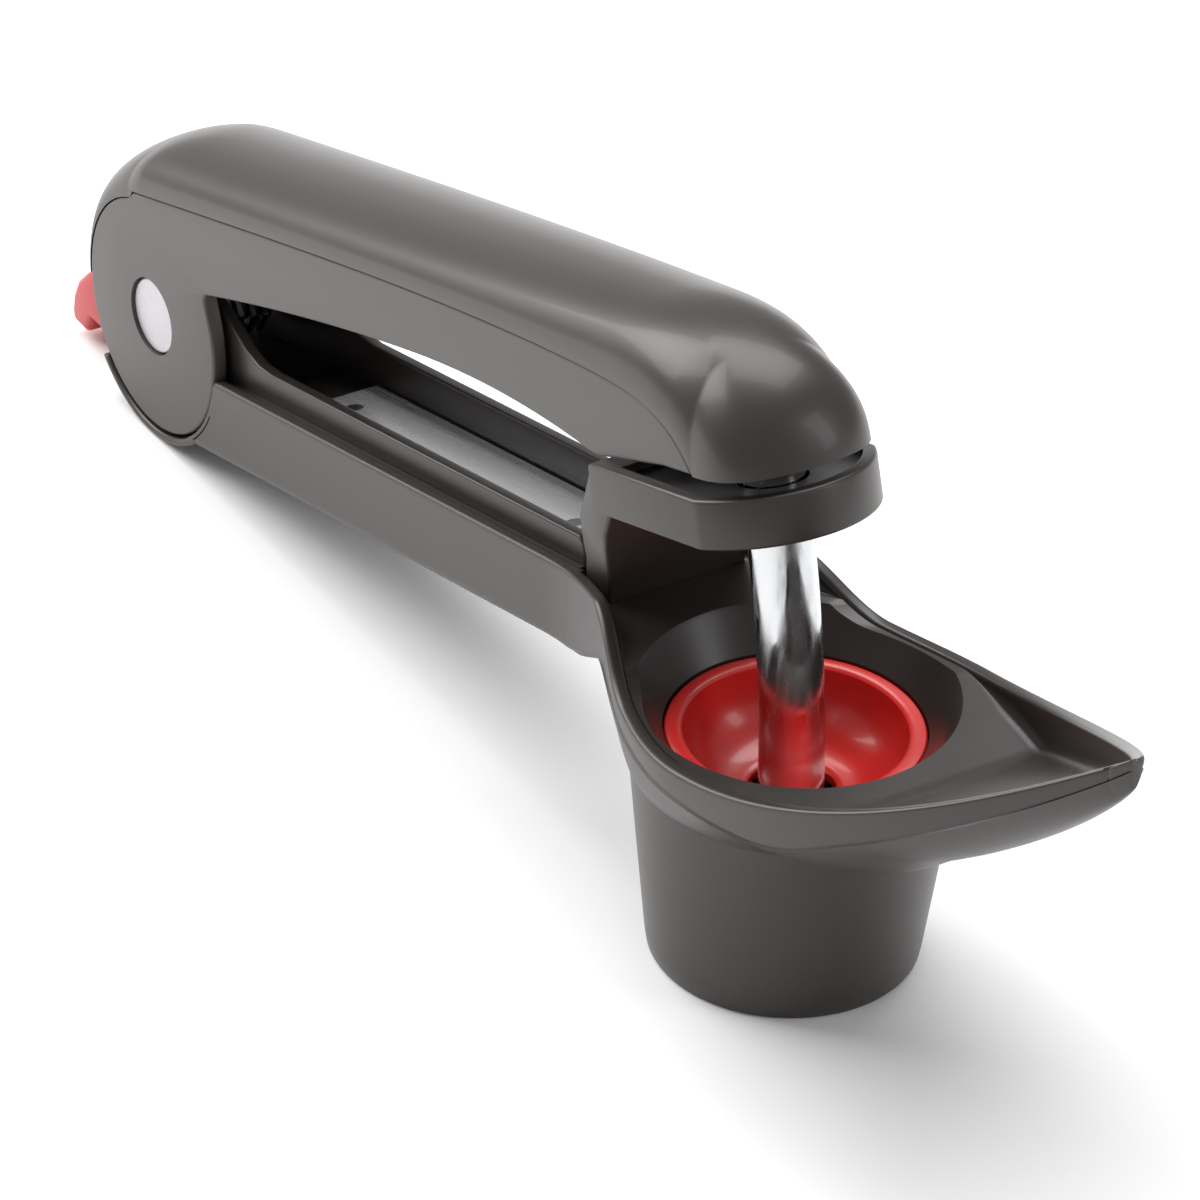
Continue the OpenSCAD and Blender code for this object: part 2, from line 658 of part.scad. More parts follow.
// Bright steel strip on the channel's floor, held from below
module strip_screw_places() {
    for (u = [rib_u(0.5), rib_u(rib_count - 1.5)])
        translate([u, 0, -floor_top]) children();
}
module steel_strip() {
    color("#e6e6e8") difference() {
        in_handle() translate([strip_from, -cheek_in + slide_gap, -floor_top + seat_gap])
            cube([strip_to - strip_from, 2 * (cheek_in - slide_gap), strip_h]);
        in_handle() strip_screw_places() translate([0, 0, -over])
            cylinder(d = screw_d + 2 * seat_gap, h = 3 * over);
    }
}
module strip_screws() {
    color("#c9cbcd") in_handle() strip_screw_places() translate([0, 0, -floor_wall - seat_gap])
        screw_up(floor_wall + strip_h + seat_gap);
}

// Side plates, deck, drum and rod socket of the lever: one moulding
module lever_frame() {
    first_u = 15;
    arch = [for (u = steps(first_u, skirt_front, 14)) [u, skirt(u)]];
    seam_points = [for (u = seam_places) [u, seam(u) - seat_gap]];
    color("#6b6a69") difference() {
        union() {
            in_lever() both_sides(plate_in, lever_half) {
                circle(r = disc_r);
                polygon(concat([[0, 0]], seam_points,
                    [[seam_end - 0.5, nose_v], [skirt_flat, nose_v]],
                    [for (i = [len(arch) - 1:-1:0]) arch[i]]));
            }
            in_lever() across(plate_in + seat_gap) polygon([[14, deck_v], [seam_end - 6, deck_v],
                [seam_end - 6, deck_v + deck_wall], [14, deck_v + deck_wall]]);
            drum();
            lever_rib_set();
            in_lever() translate([rod_u, 0, nose_v]) cylinder(d = rod_d + 2 * socket_wall, h = rod_top_v - nose_v + 1.6);
            in_lever() translate([skirt_flat - 2, -plate_in - seat_gap, nose_v + 1])
                cube([rod_u - skirt_flat, 2 * (plate_in + seat_gap), deck_v - nose_v]);
        }
        translate([hinge_x, 0, hinge_z]) {
            wheel(pin_r + seat_gap, lever_half + over);
            for (side = [-1, 1])
                translate([0, side * (lever_half - recess / 2 + over / 2), 0])
                    wheel(head_d / 2 + slide_gap / 2, recess / 2 + over / 2);
        }
        rod_arc(rod_d / 2 + seat_gap, rod_top_v + seat_gap, -5);
        in_lever() translate([rod_u, 0, cross_v]) wheel(cross_d / 2 + seat_gap, rod_d);
        in_lever() cover_screw_places() translate([0, 0, -over]) cylinder(d = screw_d + 2 * seat_gap, h = 4 * over);
    }
}

// The round rear wall between the lever's side plates
module drum() {
    stop_z = stem_z + stem_h + slide_gap;
    intersection() {
        difference() {
            translate([hinge_x, 0, hinge_z]) wheel(disc_r - seat_gap, plate_in + seat_gap);
            translate([hinge_x, 0, hinge_z]) wheel(drum_in, plate_in + over);
        }
        translate([hinge_x - disc_r - over, -lever_half, stop_z])
            cube([disc_r + over + 3, 2 * lever_half, beyond / 6]);
    }
}

// Cross ribs that stiffen the lever below its cover
module lever_rib_set() {
    for (i = [0:lever_ribs - 1])
        in_lever() translate([30 + (skirt_front - 30) * i / (lever_ribs - 1), 0, deck_v + deck_wall + 0.9])
            cube([rib_wall, 2 * (plate_in + seat_gap), 2], center = true);
}

// A solid cover shape: sections across the lever, joined
module cover_solid(inset) {
    backs = [for (i = [0:11]) 0.05 + (nose_u - nose_turn) * pow(1 - i / 11, 1.8)];
    rears = [for (i = [0:6]) cover_rear + (crown_rear - cover_rear) * pow(i / 6, 1.6)];
    places = concat(rears, [60], [for (b = backs) nose_u - b]);
    hull() for (place = places)
        let (u = place - (place > nose_c ? inset : 0),
             half = max(0.4, cover_half(place) - inset),
             top = max(nose_v + 0.5, crown(place) - inset))
        translate([u, 0, 0]) rotate([90, 0, 90]) linear_extrude(height = 0.02) polygon(concat(
            [[half, nose_v - 2], [-half, nose_v - 2]],
            [for (a = steps(180, 0, 20))
                [half * sign(cos(a)) * pow(abs(cos(a)), 0.86),
                 min(seam_v - 1, top - 0.4) + (top - min(seam_v - 1, top - 0.4)) * pow(sin(a), 0.9)]]));
}

// Domed cover of the lever, with its nose and screw posts
module grip_cover() {
    cut_points = [for (u = seam_places) [u, seam(u)]];
    color("#57504c") in_lever() difference() {
        union() {
            difference() {
                cover_solid(0);
                cover_solid(cover_wall);
            }
            intersection() {
                cover_solid(cover_wall / 2);
                cover_screw_places() translate([0, 0, deck_wall + seat_gap]) cylinder(d = screw_d * 2.4, h = beyond / 12);
            }
        }
        across(lever_half + over) polygon(concat([[0, -over]], cut_points,
            [[seam_end - 0.5, nose_v], [nose_u + over, nose_v], [nose_u + over, -beyond / 10], [0, -beyond / 10]]));
        wheel(disc_r + seat_gap, lever_half + over);
        cover_screw_places() translate([0, 0, -over]) cylinder(d = screw_d + 2 * seat_gap, h = deck_wall + 4.2 + over);
        translate([rod_u, 0, 0]) cylinder(d = rod_d + 2 * socket_wall + 2 * seat_gap, h = rod_top_v + 1.6 + seat_gap);
        translate([0, -plate_in - 2 * seat_gap, 0])
            cube([rod_u - 2, 2 * (plate_in + 2 * seat_gap), deck_v + deck_wall + seat_gap]);
    }
}

// Screws up through the deck into the cover's posts
module cover_screw_places() {
    for (i = [0:cover_screw_count - 1])
        translate([22 + (skirt_front - 22) * (i + 0.12) / (cover_screw_count - 0.76), 0, deck_v]) children();
}
module cover_screws() {
    color("#b9bbbd") in_lever() cover_screw_places() translate([0, 0, -seat_gap]) screw_up(deck_wall + 4);
}

// A round bar bent on an arc about the hinge, between two heights
module rod_arc(r, top_v, from_angle) {
    top_angle = lever_tilt + asin(top_v / rod_u);
    translate([hinge_x, 0, hinge_z]) rotate([90, 0, 0]) rotate([0, 0, from_angle])
        rotate_extrude(angle = top_angle - from_angle, $fn = 360) translate([rod_u, 0]) circle(r = r, $fn = 48);
}

// Pitting rod: bent about the hinge, so that it slides through the guard
module pitting_rod() {
    color("#c8c8ca") difference() {
        rod_arc(rod_d / 2, rod_top_v, -asin((hinge_z - rod_tip_z) / rod_u));
        in_lever() translate([rod_u, 0, cross_v]) wheel(cross_d / 2 + seat_gap, rod_d);
    }
}

// Pin that holds the rod in its socket
module rod_cross_pin() {
    color("#b9bbbd") in_lever() translate([rod_u, 0, cross_v]) wheel(cross_d / 2, rod_d / 2 + socket_wall);
}

// Hinge pin with one flat head
module hinge_pin() {
    color("#e1dee1") translate([hinge_x, 0, hinge_z]) {
        translate([0, -head_y + head_h / 2, 0]) wheel(head_d / 2, head_h / 2);
        translate([0, (head_y - head_h + cap_grip - head_y + head_h) / 2, 0])
            wheel(pin_r, (2 * head_y - 2 * head_h + cap_grip) / 2);
    }
}

// Cap pressed on the pin's far end
module pin_cap() {
    color("#e1dee1") translate([hinge_x, 0, hinge_z]) difference() {
        translate([0, head_y - head_h / 2, 0]) wheel(head_d / 2, head_h / 2);
        translate([0, head_y - head_h, 0]) wheel(pin_r + seat_gap, cap_grip + seat_gap);
    }
}

// Washers between the ears and the lever
module pivot_washers() {
    color("#c9cbcd") translate([hinge_x, 0, hinge_z]) for (side = [-1, 1]) difference() {
        translate([0, side * (cheek_out + seat_gap + washer_t / 2), 0]) wheel(washer_d / 2, washer_t / 2);
        translate([0, side * cheek_out, 0]) wheel(pin_r + pin_fit, 2 * washer_t);
    }
}

// Tube on the pin that keeps the ears apart
module spring_tube() {
    color("#c9cbcd") translate([hinge_x, 0, hinge_z]) difference() {
        wheel(bush_d / 2, cheek_in - seat_gap);
        wheel(pin_r + pin_fit, cheek_in + over);
    }
}

// Return spring: one unbroken wire, wound round the tube, with two legs
spring_r = spring_d / 2;
spring_pitch = spring_wire + 0.6;
low_drop = asin((floor_top - spring_wire / 2 - 0.1 - spring_r) / spring_leg);
high_rise = asin((deck_v - spring_wire / 2 - 0.1 - spring_r) / spring_leg);
low_angle = handle_tilt - 90 - low_drop;
high_angle = lever_tilt + 90 + high_rise - 360;
turn_steps = 8;
coil_count = round(turn_steps * (spring_turns - 1 + (low_angle - high_angle) / 360));
function coil_angle(i) = low_angle - (low_angle - high_angle + 360 * (spring_turns - 1)) * i / coil_count;
function coil_y(i) = spring_pitch * ((coil_angle(i) - low_angle) / -360 - (spring_turns - 1) / 2 - 0.25);
function coil_point(i) = [spring_r * cos(coil_angle(i)), coil_y(i), spring_r * sin(coil_angle(i))];
function along(a) = [sin(a), 0, -cos(a)];
spring_path = concat(
    [coil_point(0) - spring_leg * along(low_angle)],
    [for (i = [0:coil_count]) coil_point(i)],
    [coil_point(coil_count) + spring_leg * along(coil_angle(coil_count))]);
spring_out = concat([low_angle], [for (i = [0:coil_count]) coil_angle(i)], [coil_angle(coil_count)]);
wire_sides = 6;

// Ring of points round the wire, square to its run
function wire_ring(i) = [for (k = [0:wire_sides - 1])
    let (b = 360 * k / wire_sides, out = spring_out[i])
    spring_path[i] + spring_wire / 2 * [cos(b) * cos(out), sin(b), cos(b) * sin(out)]];
least_gap = spring_pitch - spring_wire;
echo(str("least gap between the return spring's coils: ", least_gap, " mm"));

module return_spring() {
    rings = len(spring_path);
    points = [for (i = [0:rings - 1]) each wire_ring(i)];
    color("#b0b2b4") translate([hinge_x, 0, hinge_z]) polyhedron(points, concat(
        [[for (k = [0:wire_sides - 1]) k]],
        [for (i = [0:rings - 2]) for (k = [0:wire_sides - 1])
            let (a = i * wire_sides + k, b = i * wire_sides + (k + 1) % wire_sides) [a, a + wire_sides, b]],
        [for (i = [0:rings - 2]) for (k = [0:wire_sides - 1])
            let (a = i * wire_sides + k, b = i * wire_sides + (k + 1) % wire_sides)
            [b, a + wire_sides, b + wire_sides]],
        [[for (k = [wire_sides - 1:-1:0]) (rings - 1) * wire_sides + k]]));
}

// Latch: a stem that slides under the drum's edge, with a thumb tab behind
module latch_slide() {
    tab_foot = lug_rear + latch_travel + slide_gap;
    back = hinge_x - tab_reach;
    color("#cf5b56") difference() {
        union() {
            across(latch_half) polygon([[hinge_x - stem_front, stem_z], [hinge_x - stem_front, stem_z + stem_h],
                [hinge_x - 20, stem_z + stem_h], [hinge_x - 20, stem_z]]);
            across(tab_half) polygon([
                [hinge_x - stem_front - latch_travel - 0.3, stem_z], [hinge_x - stem_front - latch_travel - 0.3, stem_z + stem_h],
                [hinge_x - 19.6, tab_top], [hinge_x - 21.8, tab_top], [back + 3.6, tab_top - 1.6],
                [back + 1, tab_top - 4.4], [back, tab_bottom + 2.4], [back, tab_bottom + 1], [back + 1, tab_bottom],
                [hinge_x - tab_foot - 1.2, tab_bottom], [hinge_x - tab_foot, tab_bottom + 0.8],
                [hinge_x - tab_foot, stem_z]]);
        }
        translate([latch_pin_x, 0, stem_z - over]) cylinder(r = latch_pin_r + seat_gap, h = stem_h - 0.6 + over);
    }
}

// Pin fixed in the latch that runs in the lug's slot
module latch_pin() {
    bottom = lug_top - lug_wall - 0.3 - latch_washer_h;
    color("#b9bbbd") translate([latch_pin_x, 0, bottom]) cylinder(r = latch_pin_r, h = stem_z + stem_h - 0.7 - bottom);
}

// Washer that keeps the pin in the slot
module latch_washer() {
    bottom = lug_top - lug_wall - 0.3 - latch_washer_h;
    color("#b9bbbd") translate([latch_pin_x, 0, bottom]) difference() {
        cylinder(r = latch_washer_r, h = latch_washer_h);
        translate([0, 0, -over]) cylinder(r = latch_pin_r + seat_gap, h = latch_washer_h + 2 * over);
    }
}

handle_body();
splash_cup();
red_seat();
guard();
guard_screws();
steel_strip();
strip_screws();
lever_frame();
grip_cover();
cover_screws();
pitting_rod();
rod_cross_pin();
hinge_pin();
pin_cap();
pivot_washers();
spring_tube();
return_spring();
latch_slide();
latch_pin();
latch_washer();
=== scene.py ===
"""Looks of a hand olive pitter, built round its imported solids.

A long lever with a domed cover closes over a channelled handle. It drives a
bent steel rod through a guard plate into a red seat, above an open cup and
below a spouted tray. Lengths are in millimetres until a mesh is made.
"""

from __future__ import annotations

import json
import logging
from dataclasses import dataclass
from enum import Enum
from typing import Callable, Sequence

import bpy
import numpy as np
from mathutils import Matrix, Vector

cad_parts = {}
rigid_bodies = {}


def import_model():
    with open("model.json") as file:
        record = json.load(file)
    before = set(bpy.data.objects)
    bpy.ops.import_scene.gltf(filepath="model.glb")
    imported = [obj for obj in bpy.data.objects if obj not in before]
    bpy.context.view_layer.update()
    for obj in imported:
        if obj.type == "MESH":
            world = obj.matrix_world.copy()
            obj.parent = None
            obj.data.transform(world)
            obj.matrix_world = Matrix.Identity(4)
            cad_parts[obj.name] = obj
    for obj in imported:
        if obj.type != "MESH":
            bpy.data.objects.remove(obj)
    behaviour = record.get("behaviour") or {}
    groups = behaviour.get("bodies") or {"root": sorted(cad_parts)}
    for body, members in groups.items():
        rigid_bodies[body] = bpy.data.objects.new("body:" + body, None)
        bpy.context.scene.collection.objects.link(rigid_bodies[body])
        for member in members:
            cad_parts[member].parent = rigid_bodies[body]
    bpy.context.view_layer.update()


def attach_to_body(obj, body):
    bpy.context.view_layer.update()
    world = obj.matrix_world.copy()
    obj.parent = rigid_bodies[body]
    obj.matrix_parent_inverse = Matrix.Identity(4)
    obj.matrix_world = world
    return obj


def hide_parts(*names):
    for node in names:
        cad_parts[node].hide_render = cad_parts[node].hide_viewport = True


LOG = logging.getLogger("pitter")
MM = 0.001

HINGE = np.array([-137.2, 0.0, 17.8])
HANDLE_TILT = np.radians(14.0)
LEVER_TILT = np.radians(19.0)

# Lever: (u, v) are along and square to it, from the hinge
DISC_R = 16.2
SEAM_V = 17.2
SEAM_END = 138.0
NOSE_V = 4.6
NOSE_U = 147.95
LEVER_HALF = 11.6
INNER_HALF = 9.45
ROD_U = 137.0
ROD_R = 4.1
CROWN_V = 22.9
ARCH_U = 68.0
ARCH_END_U = 114.7
# Tray: its tip, its floor and its underside
TIP_X = 69.0
TIP_R = 2.4
TIP_WALL = 2.4
WIDEST_X = 8.0
FLOOR_Z = 36.8
UNDER_Z = 27.5
# Rim: where the rail ends, where the rise starts, and the level between them
RAIL_X = -24.0
RISE_X = -9.0
RIM_Z = 35.6
RIM_RISE = 33.9
RIM_POWER = 1.85
# Spout: depth below the rim where the cup ends, and at the tip
SPOUT_DEPTH = 12.5
TIP_DEPTH = 4.2
# Handle's frame: the rail's depth, then the levels of the channel's floor and of its underside
RAIL_DEPTH = 5.0
CHANNEL_V = -7.8
BELOW_V = -9.8
# Radius that leaves a cutting tool's or an inner solid's edges sharp
SHARP = 0.01
# Last angle of a circle of 72 points that starts at 0, in degrees
LAST_OF_72 = 355


class Body(str, Enum):
    """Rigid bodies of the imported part."""

    HANDLE = "handle"
    LEVER = "lever"
    LATCH = "latch"


# ---------------------------------------------------------------- materials


def linear(code: str) -> tuple[float, float, float, float]:
    """Turn an sRGB colour code into a linear colour.

    Args:
        code: Six hexadecimal digits, two for each channel.

    Returns:
        Linear red, green, blue and an alpha of one.
    """
    srgb = np.array([int(code[i : i + 2], 16) for i in (0, 2, 4)]) / 255.0
    low = srgb / 12.92
    high = ((srgb + 0.055) / 1.055) ** 2.4
    r, g, b = (float(c) for c in np.where(srgb <= 0.04045, low, high))
    return r, g, b, 1.0


class Graph:
    """A material's node tree, with one call for each node."""

    def __init__(self, name: str) -> None:
        """Start an empty material that has an output and a shader.

        Args:
            name: Name of the material.
        """
        self.material = bpy.data.materials.new(name)
        self.material.use_nodes = True
        self.tree = self.material.node_tree
        self.tree.nodes.clear()
        self.output = self.add("ShaderNodeOutputMaterial")
        self.shader = self.add("ShaderNodeBsdfPrincipled")
        self.link(self.shader, 0, self.output, "Surface")

    def add(
        self, kind: str, settings: dict | None = None, **values: object
    ) -> bpy.types.Node:
        """Add a node, set its options and values, and link what feeds it.

        Args:
            kind: Blender's name of the node type.
            settings: Options that are attributes of the node.
            **values: Socket names, with a number, a colour or (node, socket).

        Returns:
            The new node.
        """
        node = self.tree.nodes.new(kind)
        for key, value in (settings or {}).items():
            setattr(node, key, value)
        for key, value in values.items():
            self.feed(node, key.replace("_", " "), value)
        return node

    def feed(self, node: bpy.types.Node, socket: str | int, value: object) -> None:
        """Give one input a value or a link.

        Args:
            node: The node that is fed.
            socket: Name or number of its input.
            value: A number, a colour, or a pair of node and output.
        """
        if isinstance(value, tuple) and value and isinstance(value[0], bpy.types.Node):
            self.link(value[0], value[1], node, socket)
        else:
            node.inputs[socket].default_value = value

    def link(
        self, source: bpy.types.Node, out: str | int, target: bpy.types.Node, into: str | int
    ) -> None:
        """Join an output to an input.

        Args:
            source: Node that gives the value.
            out: Name or number of its output.
            target: Node that takes it.
            into: Name or number of its input.
        """
        self.tree.links.new(source.outputs[out], target.inputs[into])


@dataclass(frozen=True)
class Moulded:
    """A moulded plastic: its colour, its gloss and the grain of the mould."""

    name: str
    colour: str
    deep: str
    gloss: float
    gloss_spread: float
    grain_mm: float
    grain_depth_mm: float
    patch_mm: float = 18.0
    coat: float = 0.0
    coat_gloss: float = 0.08

    def build(self) -> bpy.types.Material:
        """Make the material.

        Returns:
            A material on object coordinates.
        """
        g = Graph(self.name)
        place = (g.add("ShaderNodeTexCoord"), "Object")
        patch = g.add(
            "ShaderNodeTexNoise", Vector=place, Scale=1 / (self.patch_mm * MM), Detail=3.0
        )
        grain = g.add(
            "ShaderNodeTexNoise", Vector=place, Scale=1 / (self.grain_mm * MM), Detail=2.0
        )
        tone = g.add("ShaderNodeMix", {"data_type": "RGBA"})
        g.feed(tone, 0, (patch, 0))
        g.feed(tone, 6, linear(self.deep))
        g.feed(tone, 7, linear(self.colour))
        sheen = g.add(
            "ShaderNodeMapRange",
            Value=(patch, 0),
            To_Min=self.gloss - self.gloss_spread,
            To_Max=self.gloss + self.gloss_spread,
        )
        bump = g.add(
            "ShaderNodeBump", Height=(grain, 0), Distance=self.grain_depth_mm * MM, Strength=1.0
        )
        g.feed(g.shader, "Base Color", (tone, 2))
        g.feed(g.shader, "Roughness", (sheen, 0))
        g.feed(g.shader, "Normal", (bump, 0))
        g.feed(g.shader, "Coat Weight", self.coat)
        g.feed(g.shader, "Coat Roughness", self.coat_gloss)
        return g.material


@dataclass(frozen=True)
class Metal:
    """A metal: its colour, its polish and the lines that the tool left."""

    name: str
    colour: str
    gloss: float
    worn: float
    line_mm: tuple[float, float, float]
    line_depth_mm: float
    bare: float = 1.0

    def build(self) -> bpy.types.Material:
        """Make the material.

        Returns:
            A material on object coordinates.
        """
        g = Graph(self.name)
        place = (g.add("ShaderNodeTexCoord"), "Object")
        scale = tuple(1 / (s * MM) for s in self.line_mm)
        stretch = g.add("ShaderNodeMapping", Vector=place, Scale=scale)
        lines = g.add("ShaderNodeTexNoise", Vector=(stretch, 0), Scale=1.0, Detail=4.0)
        sheen = g.add(
            "ShaderNodeMapRange",
            Value=(lines, 0),
            From_Min=0.35,
            From_Max=0.7,
            To_Min=self.gloss,
            To_Max=self.worn,
        )
        bump = g.add(
            "ShaderNodeBump", Height=(lines, 0), Distance=self.line_depth_mm * MM, Strength=1.0
        )
        g.feed(g.shader, "Base Color", linear(self.colour))
        g.feed(g.shader, "Metallic", self.bare)
        g.feed(g.shader, "Roughness", (sheen, 0))
        g.feed(g.shader, "Normal", (bump, 0))
        return g.material


# Handle, cup and guard: charcoal ABS from a polished mould, a faint flow pattern
CHARCOAL = Moulded("charcoal ABS", "37322f", "312c2a", 0.36, 0.04, 0.35, 0.004)
# Tray: the same ABS where the mould was spark-eroded a little rougher; its darker colour is painted
# shade
TRAY_PAINTED_SHADE = Moulded("charcoal ABS, tray", "322d2a", "2b2725", 0.33, 0.04, 0.5, 0.005)
# Side plates of the lever: the same ABS, from a finely sand-blasted mould; its lighter colour is
# painted light
SATIN_PAINTED_LIGHT = Moulded("charcoal ABS, satin", "4c4947", "464341", 0.46, 0.04, 0.3, 0.006)
# Cover: ABS with a soft-touch lacquer, sprayed on
SOFT_TOUCH = Moulded("soft-touch lacquer", "342e2b", "2e2927", 0.36, 0.03, 0.6, 0.003, 30.0, 0.1)
# Seat: hard red plastic with a clear gloss, from a polished mould with soft ripples
RED_GLOSS = Moulded("red gloss plastic", "e8332e", "d82c29", 0.3, 0.04, 2.4, 0.02, 9.0, 0.25)
# Latch: deeper red ABS, semi-gloss
RED_LATCH = Moulded("red ABS", "b42424", "a82020", 0.4, 0.03, 0.5, 0.004, 9.0, 0.1)
# Rod: hard chrome on steel, drawn lengthwise and lightly scuffed by use
CHROME = Metal("hard chrome", "c9cacc", 0.08, 0.34, (1.2, 1.2, 14.0), 0.006)
# Pin: stainless steel, faced and tumbled to an even satin
PIN = Metal("tumbled stainless", "b9b6ba", 0.42, 0.52, (0.6, 0.6, 0.6), 0.004)
# Strip: rolled stainless, lines along its length; its near-white colour with a metal share of 0.55
# is a painted reflection of white surroundings
STRIP_WITH_PAINTED_REFLECTION = Metal("rolled stainless", "fafafc", 0.22, 0.3, (20.0, 0.5, 20.0), 0.002, 0.55)
# Screws, pins and washers: zinc-plated steel
ZINC = Metal("zinc plate", "aeb2b6", 0.3, 0.45, (1.0, 1.0, 1.0), 0.004)
# Return spring: drawn spring wire, oiled
WIRE = Metal("spring wire", "8d9094", 0.25, 0.4, (0.8, 0.8, 0.8), 0.004)


# ---------------------------------------------------------------- geometry


def in_frame(points: np.ndarray, tilt: float) -> np.ndarray:
    """Move points from a frame tilted about the hinge to the shared frame.

    x = hinge + u cos(tilt) - v sin(tilt), z = hinge + u sin(tilt) + v cos(tilt).

    Args:
        points: Points (u, y, v) in the last axis.
        tilt: Tilt of the frame, in radians.

    Returns:
        Points (x, y, z).
    """
    u, y, v = points[..., 0], points[..., 1], points[..., 2]
    x = HINGE[0] + u * np.cos(tilt) - v * np.sin(tilt)
    z = HINGE[2] + u * np.sin(tilt) + v * np.cos(tilt)
    return np.stack([x, y, z], axis=-1)


def level_frame(points: np.ndarray) -> np.ndarray:
    """Move points from the level frame at the hinge to the shared frame.

    Args:
        points: Points (u, y, v).

    Returns:
        Points (x, y, z).
    """
    return in_frame(points, 0.0)


def handle_frame(points: np.ndarray) -> np.ndarray:
    """Move points from the handle's frame to the shared frame.

    Args:
        points: Points (u, y, v).

    Returns:
        Points (x, y, z).
    """
    return in_frame(points, HANDLE_TILT)


def lever_frame(points: np.ndarray) -> np.ndarray:
    """Move points from the closed lever's frame to the shared frame.

    Args:
        points: Points (u, y, v).

    Returns:
        Points (x, y, z).
    """
    return in_frame(points, LEVER_TILT)


def signed_volume(a: np.ndarray, b: np.ndarray, c: np.ndarray) -> float:
    """Sum the products a . (b x c), six times the volume under triangles.

    Args:
        a: First corners, shaped (triangles, 3).
        b: Second corners.
        c: Third corners.

    Returns:
        A sum whose sign tells whether the faces look outwards.
    """
    return np.einsum("ij,ij->", a, np.cross(b, c))


def surface(
    name: str,
    rings: np.ndarray,
    material: bpy.types.Material,
    wrap: bool = False,
    angle: float = 38.0,
) -> bpy.types.Object:
    """Skin a row of closed rings, so that the result is a closed solid.

    Each ring is joined to the next by four-sided faces. The first and last
    ring are closed by one face each, or joined to each other.

    Args:
        name: Name of the object.
        rings: Points in millimetres, shaped (rings, points, 3).
        material: Its finish.
        wrap: Whether the last ring joins the first.
        angle: Edges sharper than this stay sharp, in degrees.

    Returns:
        The object, linked to the scene.
    """
    count, around, _ = rings.shape
    index = np.arange(count * around).reshape(count, around)
    here = index if wrap else index[:-1]
    following = np.roll(index, -1, axis=0) if wrap else index[1:]
    quads = np.stack(
        [here, np.roll(here, -1, axis=1), np.roll(following, -1, axis=1), following], axis=-1
    ).reshape(-1, 4)
    points = rings.reshape(-1, 3) * MM
    a, b, c, d = (points[quads[:, k]] for k in range(4))
    centre = points.mean(axis=0)
    volume = signed_volume(a - centre, b - centre, c - centre)
    volume += signed_volume(a - centre, c - centre, d - centre)
    faces = quads.tolist()
    if not wrap:
        first, last = index[0][::-1], index[-1]
        faces += [first.tolist(), last.tolist()]
        for cap in (first, last):
            p = points[cap] - centre
            volume += signed_volume(np.broadcast_to(p[0], p[1:-1].shape), p[1:-1], p[2:])
    if volume < 0:
        faces = [face[::-1] for face in faces]
    mesh = bpy.data.meshes.new(name)
    mesh.from_pydata(points, [], faces)
    mesh.validate()
    mesh.shade_smooth()
    mesh.set_sharp_from_angle(angle=np.radians(angle))
    mesh.materials.append(material)
    piece = bpy.data.objects.new(name.replace(" ", "_"), mesh)
    bpy.context.scene.collection.objects.link(piece)
    LOG.info("%s: %d faces", name, len(faces))
    return piece


def inset(outline: np.ndarray, amount: float) -> np.ndarray:
    """Move a closed outline inwards, along the mean normal of its two edges.

    Args:
        outline: Points, shaped (points, 2).
        amount: Distance in millimetres.

    Returns:
        The moved outline, with as many points.
    """
    after = np.roll(outline, -1, axis=0) - outline
    after /= np.maximum(np.linalg.norm(after, axis=1, keepdims=True), 1e-9)
    before = np.roll(after, 1, axis=0)
    x, y = outline[:, 0], outline[:, 1]
    turn = np.sign(np.sum(x * np.roll(y, -1) - np.roll(x, -1) * y))
    normal_a = np.stack([-after[:, 1], after[:, 0]], axis=1) * turn
    normal_b = np.stack([-before[:, 1], before[:, 0]], axis=1) * turn
    mean = normal_a + normal_b
    mean /= np.maximum(np.linalg.norm(mean, axis=1, keepdims=True), 1e-9)
    stretch = 1 / np.maximum(np.sum(mean * normal_a, axis=1, keepdims=True), 0.6)
    return outline + mean * stretch * amount


def rounded_slab(
    name: str,
    outline: np.ndarray,
    low: float,
    high: float,
    radius: float,
    material: bpy.types.Material,
    put: Callable[[np.ndarray], np.ndarray],
    axis: int = 1,
) -> bpy.types.Object:
    """Give an outline a thickness, with quarter-round edges.

    The outline shrinks by radius (1 - cos t) while the level moves by
    radius (1 - sin t), for t from 0 to 90 degrees at each face.

    Args:
        name: Name of the object.
        outline: Points, shaped (points, 2).
        low: Level of the first face.
        high: Level of the second face.
        radius: Radius of the edges.
        material: Its finish.
        put: Moves the points to the shared frame.
        axis: 1 for a side view given a width, 2 for a plan given a height.

    Returns:
        The object.
    """
    t = np.radians(np.linspace(90, 0, 5))
    near, shrink = radius * (1 - np.sin(t)), radius * (1 - np.cos(t))
    levels = np.concatenate([low + near, (high - near)[::-1]])
    flat = np.stack([inset(outline, amount) for amount in np.concatenate([shrink, shrink[::-1]])])
    level = np.broadcast_to(levels[:, None], flat.shape[:2])
    first, second = flat[..., 0], flat[..., 1]
    order = (first, level, second) if axis == 1 else (first, second, level)
    return surface(name, put(np.stack(order, axis=-1)), material)


def lathe(
    name: str, profile: Sequence[tuple[float, float]], material: bpy.types.Material
) -> bpy.types.Object:
    """Turn a closed profile about the cup's axis.

    Args:
        name: Name of the object.
        profile: Radii and heights, in order round the section.
        material: Its finish.

    Returns:
        The object.
    """
    p = np.asarray(profile)
    a = np.radians(np.linspace(0, 360, 129)[:-1])
    r, z = p[:, 0], np.broadcast_to(p[:, 1], (a.size, len(p)))
    rings = np.stack([np.outer(np.cos(a), r), np.outer(np.sin(a), r), z], axis=-1)
    return surface(name, rings, material, wrap=True)


